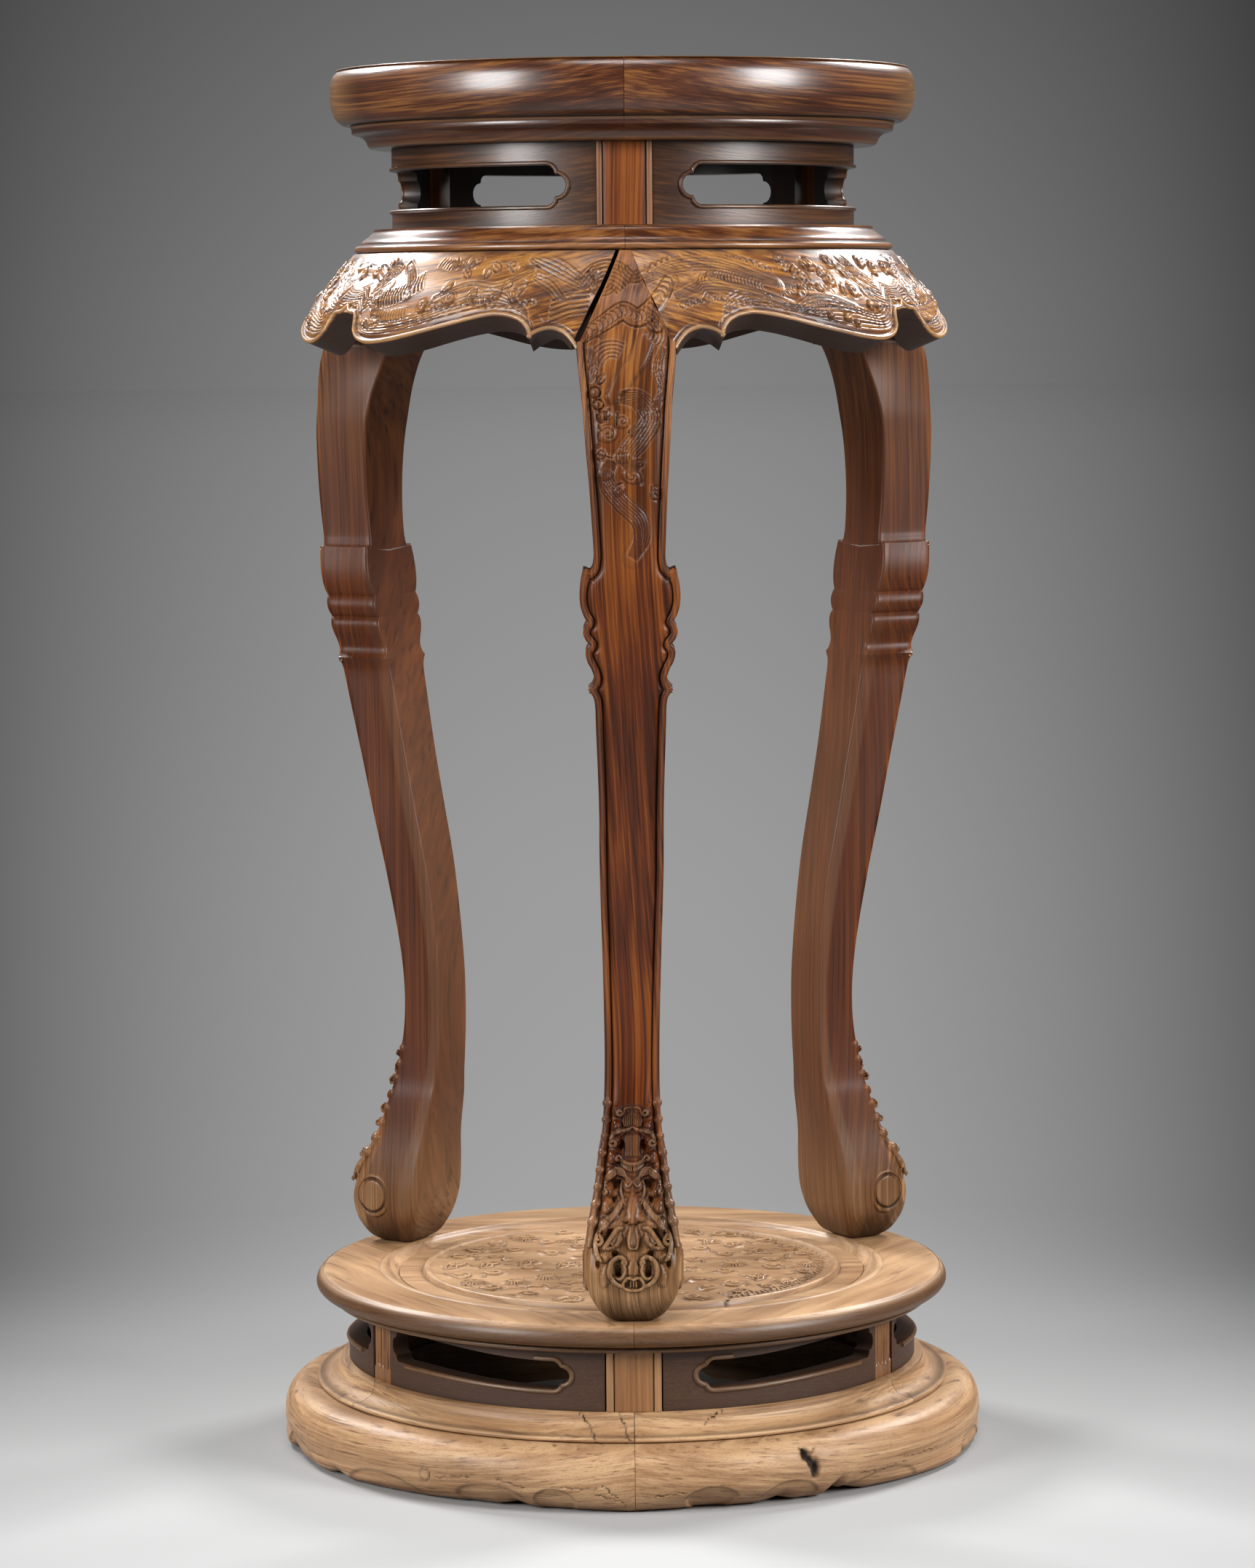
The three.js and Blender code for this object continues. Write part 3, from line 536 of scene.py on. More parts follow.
def woodFinish(name, look):
    material = bpy.data.materials.new(name)
    material.use_nodes = True
    tree = material.node_tree
    tree.nodes.clear()
    if look["follows"] == "grain":
        grain = addNode(tree, "ShaderNodeAttribute", attribute_name="grain").outputs["Vector"]
    else:
        grain = addNode(tree, "ShaderNodeTexCoord").outputs["Object"]
    hollow = addNode(tree, "ShaderNodeAttribute", attribute_name="hollow").outputs["Fac"]
    tone = addNode(tree, "ShaderNodeAttribute", attribute_name="tone").outputs["Fac"]
    streaks = grainStreaks(tree, grain, look)
    blotch = noise(tree, grain, 11.0, 1.0)["Fac"]

    fine = calc(tree, "MULTIPLY", streaks["line"], look["lines"])
    body = calc(tree, "MULTIPLY_ADD", streaks["band"], 1 - look["lines"], fine)
    patched = calc(tree, "MULTIPLY_ADD", blotch, 0.3, body)
    toned = heightZones(tree, patinaAndShadeTones(tree, patched, tone, look), patched, tone, look["zones"])
    vein = linear(look["vein"])
    veined = blended(tree, rescaled(tree, streaks["vein"], 0.56, 0.72, top=look["veins"]), toned, vein,
                     "MULTIPLY")
    pored = blended(tree, rescaled(tree, streaks["pore"], 0.57, 0.66, top=look["pores"]), veined, vein)

    # painted shade and dirt in the hollows, painted highlight and wear on the crests
    deep = calc(tree, "MULTIPLY", hollow, -look["dirtShare"], clamp=True)
    shadedAndSoiled = blended(tree, deep, pored, linear(look["dirt"]))
    high = calc(tree, "MULTIPLY", hollow, look["wearShare"], clamp=True)
    wearAndPaintedLight = blended(tree, high, shadedAndSoiled, linear(look["wearAndPaintedLight"]))

    # duller in patches, where the tone lays on patina and painted shade, and where shade and dirt are painted
    patchy = calc(tree, "MULTIPLY_ADD", blotch, 0.3, look["roughness"] - 0.15)
    handled = calc(tree, "MULTIPLY_ADD", tone, look["dulling"], patchy)
    dull = calc(tree, "MULTIPLY_ADD", deep, 0.35, handled, clamp=True)
    relief = calc(tree, "MULTIPLY_ADD", streaks["pore"], -0.5, streaks["vein"])
    bump = addNode(tree, "ShaderNodeBump", {"Height": relief, "Strength": look["bump"], "Distance": 0.4 * mm})
    surface = addNode(tree, "ShaderNodeBsdfPrincipled", {
        "Base Color": wearAndPaintedLight, "Roughness": dull, "Normal": bump.outputs[0], "Coat Weight": look["polish"],
        "Coat Roughness": look["gloss"], "Specular IOR Level": look["sheen"], "IOR": 1.5})
    addNode(tree, "ShaderNodeOutputMaterial", {"Surface": surface.outputs[0]})
    return material


# length, width and depth in mm of the soft bands, fine lines, dark veins and pores, the pores
# twice as wide as real ones
darkGrain = {"band": (240, 6, 50), "line": (320, 1.7, 16), "vein": (150, 1.2, 9), "pore": (9, 0.55, 1.2)}
paleGrain = {"band": (190, 6, 50), "line": (260, 2.0, 18), "vein": (80, 1.1, 8), "pore": (9, 0.6, 1.2)}
toneNames = ("dark", "middle", "light", "patinaAndShade", "vein", "dirt", "wearAndPaintedLight")
# what a finish has where it gives nothing of its own; slant is how steeply the layers cut through a board
commonLook = {"follows": "grain", "slant": 0.16, "lines": 0.5, "waver": 5, "streaks": darkGrain, "veins": 0.6,
              "pores": 0.3, "dirtShare": 0.9, "wearShare": 0.5, "roughness": 0.38, "dulling": 0.1,
              "polish": 0.1, "gloss": 0.25, "sheen": 0.45, "bump": 0.25, "zones": ()}


def tones(*codes):
    return dict(zip(toneNames, codes))


def wood(*codes, **own):
    return {**commonLook, **tones(*codes), **own}


woods = {
    # rosewood frame, waxed and rubbed by hands to a deep shine
    "polished_wood": wood("#34180b", "#512a14", "#7d5028", "#371a0e", "#3a1e12", "#140a05", "#9c7444",
                          lines=0.6, pores=0.35, wearShare=0.45, roughness=0.34, polish=0.45, gloss=0.2),
    # the same wood in darker tones; its boards take painted shade and dust along their edges and painted shade
    # inside the slots
    "waist_wood": wood("#2c170b", "#3c2210", "#54331a", "#33200f", "#3a2014", "#0c0604", "#7c5430", veins=0.5,
                       dirtShare=0.95, dulling=0.2, polish=0.25, gloss=0.24),
    # golden brown aprons with dark stripes, carved in low relief
    "carved_wood": wood("#41200c", "#70421b", "#a06c30", "#2c170b", "#3a1c0c", "#2a160b", "#b8946a", slant=0.3,
                        lines=0.62, veins=0.8, dirtShare=1.0, roughness=0.36, dulling=0.3, polish=0.2,
                        gloss=0.22),
    # legs: dull and tan at the feet, red-brown in the middle, golden under the aprons, red-brown posts
    "leg_wood": wood("#674829", "#86623f", "#a5805a", "#59381f", "#4a3020", "#1a0e07", "#96795c", slant=0.34,
                     lines=0.55, dirtShare=0.95, dulling=0.12, polish=0.08, sheen=0.2,
                     zones=[(118, 235, "leg_middle"), (560, 740, "leg_upper"), (800, 812, "leg_post")]),
    "leg_middle": tones("#371606", "#53240a", "#794015", "#482310"),
    "leg_upper": tones("#3c1c0b", "#653818", "#8c5829", "#472919"),
    "leg_post": tones("#42200e", "#673416", "#8a4e22", "#4a2412"),
    # tan base, rubbed pale on top and darker on its nose
    "base_wood": wood("#8a6746", "#9d7a57", "#b08c67", "#3d200b", "#7a5a3e", "#2a180c", "#c2a07a", lines=0.4,
                      waver=6, streaks=paleGrain, veins=0.5, dirtShare=0.8, wearShare=0.35, roughness=0.46,
                      dulling=-0.03, sheen=0.4, bump=0.3),
    # dry plinth that has stood on damp floors
    "weathered_wood": wood("#8a6745", "#a07c58", "#b7946d", "#84583c", "#6b4a32", "#24150b", "#c4a47e",
                           lines=0.45, streaks=paleGrain, veins=0.7, pores=0.4, wearShare=0.4, roughness=0.5,
                           polish=0.06, gloss=0.3, sheen=0.4, bump=0.5),
    # unpolished batten, sawn and planed
    "hidden_wood": wood("#4c3522", "#6a4e34", "#876848", "#b09a80", "#2c1d12", "#201510", "#9a7a58",
                        follows="object", lines=0.4, waver=6, streaks=paleGrain, pores=0.5, dirtShare=1.0,
                        wearShare=0.4, roughness=0.75, dulling=0, polish=0.0, gloss=0.3, sheen=0.3, bump=0.6),
}
# the collar is as polished as the rim and redder, the posts of the base are browner than its boards
woods["collar_wood"] = {**woods["polished_wood"], **tones("#3a1b0c", "#5a3015", "#80522a"), "wearAndPaintedLight": "#a8764a",
                        "polish": 0.3}
woods["post_wood"] = {**woods["base_wood"], **tones("#744b29", "#8a5e36", "#9c7044", "#6a4426")}
finishes = {}


def makeFinishes():
    for name, look in woods.items():
        if "streaks" in look:
            finishes[name] = woodFinish(name, look)
    print("stage: wood finishes")


# Top: three boards round a panel

def topProfile():
    return [(140, 868.5), (165.4, 868.5), (167, 868.8), (168.4, 869.6), (169.2, 871), (169.8, 872.8),
            (171.2, 874.8), (173.4, 876.4), (176, 877.4), (178.4, 877.9), (179.5, 878.6), (179.8, 879.8),
            (179.6, 881), (180.3, 881.9), (180.6, 882.9), (180.2, 883.9), (180.6, 884.6),
            *ellipseArc(183.5, 903, 10.5, 19, -94, 0, 16), *squareArc(184.6, 903, 9.4, 16.6, 4, 74, 12),
            (189.9, 919.5), (189.2, 920), (188.2, 919.7), (186.6, 919.3), (146, 919.2), (143.4, 919.6),
            (141.6, 919.4), (140, 918.6)]


def tonedRing(piece, toneAt):
    piece["hollow"], piece["tone"] = toneAt(*cylindrical(piece["points"]))
    return piece


def makeTop():
    finish = finishes["polished_wood"]
    seam = 0.045
    for k, (side, azimuth) in enumerate(thirdTurns.items()):
        rim = ringPart(topProfile(), azimuth + seam, 120 - 2 * seam, 240, finish)
        # painted light on the rim: shade in the crease under the nose, highlight and wear on the beads, the
        # top edge and the nose's left and right ends where the side lamps fall, and the darker tone below the
        # nose as painted shade
        tonedRing(rim, lambda r, a, z: (-0.9 * bell(z, 884, 0.9) * (r < 186)
                                        + 0.8 * bell(z, 882.6, 0.8) + 0.5 * bell(z, 869.8, 0.8)
                                        + 0.5 * bell(z, 919.6, 0.7) * (r > 186)
                                        + 0.7 * smoothStep(0.86, 1, np.abs(np.cos(np.radians(a))))
                                        * (z > 885) * (z < 916),
                                        0.1 + 0.6 * smoothStep(886, 881, z)))
        makePiece(f"moulded_rim_{side}", [rim], finish, [f"top_rim_{side}"], azimuth + 150,
                  0.31 * (k + 1))
    panel = ringDisc([(0, 904), (139.6, 904), (139.7, 917.2), (138.9, 918), (0, 918)])
    makePiece("top_board", [panel], finish, ["top_panel"], 0, 0.9)
    print("stage: top")


def ringDisc(profile, sides=144):
    # a turned disc: the profile starts and ends on the axis
    turns = np.linspace(0, 360, sides, endpoint=False)
    return loft(np.array([polar(r, turns, z) for r, z in profile if r > 0]))


# Collar under the waist

def collarProfile():
    share = np.linspace(0, 1, 17)
    eased = (1 - np.cos(np.pi * share)) / 2
    curve = list(zip(174.7 - 8.8 * eased, 805.4 + 9.6 * share))
    return [(150, 799.7), *ellipseArc(175.8, 802.3, 3, 2.6, -90, 90, 10), (174.9, 805.2), *curve[1:],
            (165.9, 815.4), (150, 815.4)]


def makeCollars():
    finish = finishes["collar_wood"]
    for k, (side, azimuth) in enumerate(thirdTurns.items()):
        collar = ringPart(collarProfile(), azimuth + 0.05, 119.9, 200, finish)
        # painted highlight and wear on the bead's front and the top edge, painted shade in the crease above
        # the bead
        tonedRing(collar, lambda r, a, z: (0.7 * bell(z, 802.3, 1.6) * (r > 177.2)
                                           - 0.8 * bell(z, 805.1, 0.5) + 0.5 * bell(z, 815.4, 0.5),
                                           0.0 * r))
        makePiece(f"moulded_collar_{side}", [collar], finish, [f"collar_{side}"],
                  azimuth + 150, 0.2 + 0.4 * k)
    print("stage: collars")


# Slotted boards of both waists

def slotHalf(share):
    # half opening of a slot's end: a lobe at the tip, a cusp, then a quarter round up to the full height
    tip = 0.56 * np.sqrt(np.clip(1 - ((0.54 - share) / 0.54) ** 2, 0, 1))
    shoulder = 0.6 + 0.4 * np.sqrt(np.clip(1 - ((1 - share) / 0.42) ** 2, 0, 1))
    return np.where(share < 0.54, tip, np.where(share < 0.58, 0.56 + (share - 0.54), np.minimum(shoulder, 1)))


def slotShares(tipSteps, shoulderFrom, shoulderSteps):
    # places along a slot's end, closer together at its tip
    tip = np.linspace(0, 0.54, tipSteps) ** 1.6 * 0.54 ** -0.6
    return np.concatenate([tip, np.linspace(shoulderFrom, 1, shoulderSteps)])


def slottedBoard(board, slot):
    # columns of points from one end to the other, closer together where the slot's outline turns
    share = slotShares(15, 0.58, 13)
    first, last = slot["from"], slot["to"]
    plain = np.arange(board["from"], board["to"], 0.8)
    clear = (plain < first - 0.2) | (plain > last + 0.2)
    clear |= (plain > first + slot["startLength"] + 0.2) & (plain < last - slot["endLength"] - 0.2)
    angles = np.unique(np.concatenate([first + share * slot["startLength"], last - share * slot["endLength"],
                                       plain[clear], [board["from"], board["to"]]]))
    inside = np.minimum((angles - first) / slot["startLength"], (last - angles) / slot["endLength"])
    half = np.where(inside <= 0, 0, slotHalf(np.clip(inside, 0, 1))) * (slot["high"] - slot["low"]) / 2
    middle = (slot["low"] + slot["high"]) / 2
    rows = board["rows"]
    upper = np.linspace(0, 1, rows)
    heights = np.concatenate([board["low"] + (middle - half - board["low"])[:, None] * upper,
                              middle + half[:, None] + (board["high"] - middle - half)[:, None] * upper], 1)
    faces = [polar(board["radius"] - depth, angles[:, None], heights) for depth in (0, board["thickness"])]
    count, width = heights.shape
    out = np.arange(count * width).reshape(count, width)
    back = out + count * width
    quads = []
    bands = [i for band in (0, rows) for i in range(band, band + rows - 1)]
    for k in range(count - 1):
        for i in bands:
            quads.append((out[k, i], out[k + 1, i], out[k + 1, i + 1], out[k, i + 1]))
            quads.append((back[k + 1, i], back[k, i], back[k, i + 1], back[k + 1, i + 1]))
        quads.append((back[k, 0], back[k + 1, 0], out[k + 1, 0], out[k, 0]))
        quads.append((out[k, -1], out[k + 1, -1], back[k + 1, -1], back[k, -1]))
        if half[k] + half[k + 1] > 0:
            quads.append((out[k, rows - 1], out[k + 1, rows - 1], back[k + 1, rows - 1], back[k, rows - 1]))
            quads.append((back[k, rows], back[k + 1, rows], out[k + 1, rows], out[k, rows]))
    for i in bands:
        quads.append((back[0, i], out[0, i], out[0, i + 1], back[0, i + 1]))
        quads.append((back[-1, i + 1], out[-1, i + 1], out[-1, i], back[-1, i]))
    points = np.concatenate([face.reshape(-1, 3) for face in faces])
    # the back face gets painted shade, which also darkens the walls inside the slot
    return part(points, quads, (), np.repeat([0.0, -1.2], count * width))


def slotLine(board, slot, outward, lift):
    # the slot's outline, moved outward by a bead's half width, as a closed line on the board's face
    share = slotShares(15, 0.6, 9)
    half = (slot["high"] - slot["low"]) / 2 * slotHalf(share)
    perDegree = math.radians(board["radius"])
    near = np.stack([(slot["from"] + share * slot["startLength"]) * perDegree, half], -1)
    far = np.stack([(slot["to"] - share * slot["endLength"]) * perDegree, half], -1)
    top = np.concatenate([near, far[::-1]])
    flat = np.concatenate([top, top[-2:0:-1] * (1, -1)])
    pieces = []
    for start, end in zip(flat, np.roll(flat, -1, 0)):
        steps = max(1, int(np.linalg.norm(end - start) / 4))
        pieces.append(start + (end - start) * np.linspace(0, 1, steps, endpoint=False)[:, None])
    line = np.concatenate(pieces)
    after, before = np.roll(line, -1, 0) - line, line - np.roll(line, 1, 0)
    along = after / np.linalg.norm(after, axis=1)[:, None] + before / np.linalg.norm(before, axis=1)[:, None]
    along /= np.maximum(np.linalg.norm(along, axis=1), 0.3)[:, None]
    moved = line + np.stack([-along[:, 1], along[:, 0]], -1) * outward
    return polar(board["radius"] + lift, moved[:, 0] / perDegree,
                 moved[:, 1] + (slot["low"] + slot["high"]) / 2)


# azimuths from the board's first end, heights, rows of points above and below the slot, the bead's half width
waistBoard = {"radius": 153.5, "thickness": 12, "from": 6.75, "to": 113.25, "low": 815.8, "high": 868.2,
              "rows": 7, "bead": 1.35}
waistSlot = {"from": 13.9, "to": 106.1, "low": 828, "high": 854, "startLength": 5, "endLength": 5}


def makeWaist():
    finish = finishes["waist_wood"]
    board = slottedBoard(waistBoard, waistSlot)
    line = slotLine(waistBoard, waistSlot, waistBoard["bead"] * 0.8, 0.3)
    bead = beads([(line, waistBoard["bead"], True)], finish, 10, 0.15)
    heights = board["points"][:, 2]
    # painted shade along the top and lower edges, under the rim and over the collar
    nearEnd = np.exp(-(heights - waistBoard["low"]) / 2) + np.exp(-(waistBoard["high"] - heights) / 2)
    board["hollow"] = board["hollow"] - 0.5 * nearEnd
    for k, (side, azimuth) in enumerate(thirdTurns.items()):
        parts = [turned(board, azimuth), turned(bead, azimuth)]
        makePiece(f"slotted_waist_{side}", parts, finish, [f"waist_board_{side}"], azimuth + 150,
                  0.5 + 0.3 * k)
    print("stage: waist boards")


# Relief carving: domes that raise or sink the ground, and lines laid on it

def domeHeights(u, v, domes):
    raised, sunk = 0 * u, 0 * u
    for cu, cv, ru, rv, turn, height, power in domes:
        angle = math.radians(turn)
        x = (u - cu) * math.cos(angle) + (v - cv) * math.sin(angle)
        y = (v - cv) * math.cos(angle) - (u - cu) * math.sin(angle)
        d = np.sqrt((x / ru) ** 2 + (y / rv) ** 2)
        shape = np.sqrt(np.clip(1 - d ** power, 0, 1)) * abs(height)
        if height > 0:
            raised = np.maximum(raised, shape)
            sunk = sunk + 0.35 * bell(d, 1.1, 0.12) * (d > 1)
        else:
            sunk = sunk + shape
    return raised - sunk


def curl(u, v, size, start=0, turns=1.3, hand=1, tail=None, width=0.8, steps=22):
    # a spiral from its eye outwards, with an optional tail that runs on to a point
    share = np.linspace(0.12, 1, steps)
    angle = math.radians(start) + hand * share * turns * math.tau
    line = np.stack([u + size * share * np.cos(angle), v + size * share * np.sin(angle)], -1)
    if tail:
        end = np.array([u + tail[0], v + tail[1]])
        heading = line[-1] - line[-2]
        heading /= np.linalg.norm(heading)
        reach = np.linalg.norm(end - line[-1])
        t = np.linspace(0, 1, 10)[1:, None]
        first = line[-1] + heading * reach * 0.45
        line = np.concatenate([line, (1 - t) ** 2 * line[-1] + 2 * t * (1 - t) * first + t * t * end])
    taper = np.interp(np.linspace(0, 1, len(line)), [0, 0.1, 0.6, 1], [1.15, 1, 0.9, 0.25])
    return line, width * taper


def leaf(u, v, length, turn, bulge=0.28, width=0.6):
    # outline and middle rib of a pointed leaf
    angle = math.radians(turn)
    along = np.array([math.cos(angle), math.sin(angle)])
    side = np.array([-along[1], along[0]])
    t = np.linspace(0, 1, 12)[:, None]
    lines = []
    for hand in (1, -1, 0):
        points = np.array([u,
                           v]) + along * t * length + side * hand * bulge * length * np.sin(np.pi * t ** 0.8)
        lines.append((points,
                      width * np.interp(t[:, 0], [0, 0.3, 1], [0.7, 1, 0.3]) * (0.7 if hand == 0 else 1)))
    return lines


def fan(u, v, size, turn, spread, count, width=0.4):
    # straight strokes that open from one point
    lines = []
    for angle in np.radians(np.linspace(turn - spread / 2, turn + spread / 2, count)):
        t = np.linspace(0.15, 1, 5)[:, None]
        points = np.array([u, v]) + t * size * np.array([math.cos(angle), math.sin(angle)])
        lines.append((points, width * np.interp(t[:, 0], [0.15, 0.7, 1], [1, 0.9, 0.4])))
    return lines


def strand(points, width, steps=26, taper=(0.3, 1, 1, 0.3)):
    line = spline(points, steps)
    return line, width * np.interp(np.linspace(0, 1, steps), [0, 0.2, 0.8, 1], taper)


# Aprons

# mitres in degrees from the leg's centre line; closest: the least step between two columns, in degrees
apron = {"top": 799.4, "mitreTop": 1.2, "mitreLow": 8.3, "thickness": 22, "endThickness": 12,
         "topThickness": 16, "perDegree": 3.84, "columns": 640, "closest": 0.075, "rows": 96, "backRows": 7,
         "bead": 1.35, "beadInset": 1.3}
shoulderProfile = [(799.4, 179), (793.5, 184.3), (782, 193), (770.5, 203.2), (758.8, 210.2), (747, 215.5),
                   (737, 219.6), (725, 223.3)]
edgeRuns = [[(8.3, 737.5), (9.1, 742), (10.6, 747.4), (12.7, 750), (14.8, 748.6), (16.5, 744.6)],
            [(16.5, 744.6), (16.9, 749.4), (18.3, 755), (20.6, 758.1), (23.6, 758.9), (28, 756.2), (33, 751.8),
             (38, 747.6), (44, 743.4), (48.2, 741.8), (51, 742.4), (53.2, 745), (54.7, 749.4), (55.3, 754),
             (55.8, 758.4)],
            [(55.8, 758.4), (56.6, 760.4), (58.4, 761), (59.4, 763), (60, 765)]]


def apronEdge():
    runs = [spline(run, 14 * (len(run) - 1)) for run in edgeRuns]
    half = np.concatenate([run[:-1] for run in runs[:-1]] + runs[-1:])
    mirrored = np.stack([120 - half[-2::-1, 0], half[-2::-1, 1]], -1)
    return np.concatenate([half, mirrored])


def apronSurface(angle, z, lift=0.0):
    # a point on the apron's face, raised along the face's own normal
    radius = curveAt(shoulderProfile, z)
    slope = (curveAt(shoulderProfile, z + 1) - curveAt(shoulderProfile, z - 1)) / 2
    length = np.hypot(1, slope)
    return polar(radius + lift / length, angle, z - lift * slope / length)


def sideWaves(hand, count, gap, rough):
    # nested lines that follow the lower edge from cusp to lobe, swelling as waves do
    strokes = []
    edge = spline(edgeRuns[1], 200)
    for k in range(count):
        share = np.linspace(0.05 + 0.013 * k, 0.95 - 0.017 * k, 90)
        place = np.interp(share, np.linspace(0, 1, 200), edge[:, 0])
        height = np.interp(share, np.linspace(0, 1, 200), edge[:, 1])
        swell = 1 + rough * np.sin(share * 21 + 0.35 * k + hand) + 0.35 * np.sin(share * 9 + 2 * hand)
        strokes.append(np.stack([hand * place * apron["perDegree"], height + 4.7 + gap * k * swell], -1))
    return strokes


def bundle(path, count, gap, steps=40, pinch=0.35):
    # parallel lines along a path, drawn together at both ends
    line = spline(path, steps)
    swell = pinch + (1 - pinch) * np.sin(np.pi * np.linspace(0.04, 0.96, len(line))) ** 0.7
    return [line + sideways(line) * ((k - (count - 1) / 2) * gap * swell)[:, None] for k in range(count)]


def arcs(u, v, sizes, start, end, squash=1.0):
    angle = np.radians(np.linspace(start, end, 24))
    return [np.stack([u + size * np.cos(angle), v + squash * size * np.sin(angle)], -1) for size in sizes]


def scallops(path, size, hand=1):
    # a row of small bows, as along the edge of a cloud or a wave
    line = dense(spline(path, 60), size * 1.7)
    strokes = []
    for start, end in zip(line[:-1], line[1:]):
        along = (end - start) / np.linalg.norm(end - start)
        side = np.array([-along[1], along[0]]) * hand
        t = np.linspace(0, math.pi, 12)[:, None]
        strokes.append((start + end) / 2 - along * size * 0.85 * np.cos(t) + side * size * np.sin(t))
    return strokes


def hatching(path, length, turn, gap):
    # short slightly bent strokes, side by side along a path
    reach = np.array([math.cos(math.radians(turn)), math.sin(math.radians(turn))]) * length
    bend = np.array([-reach[1], reach[0]]) * 0.12
    return [np.array([point, point + reach * 0.5 + bend, point + reach]) for point in dense(spline(path, 60),
            gap)]


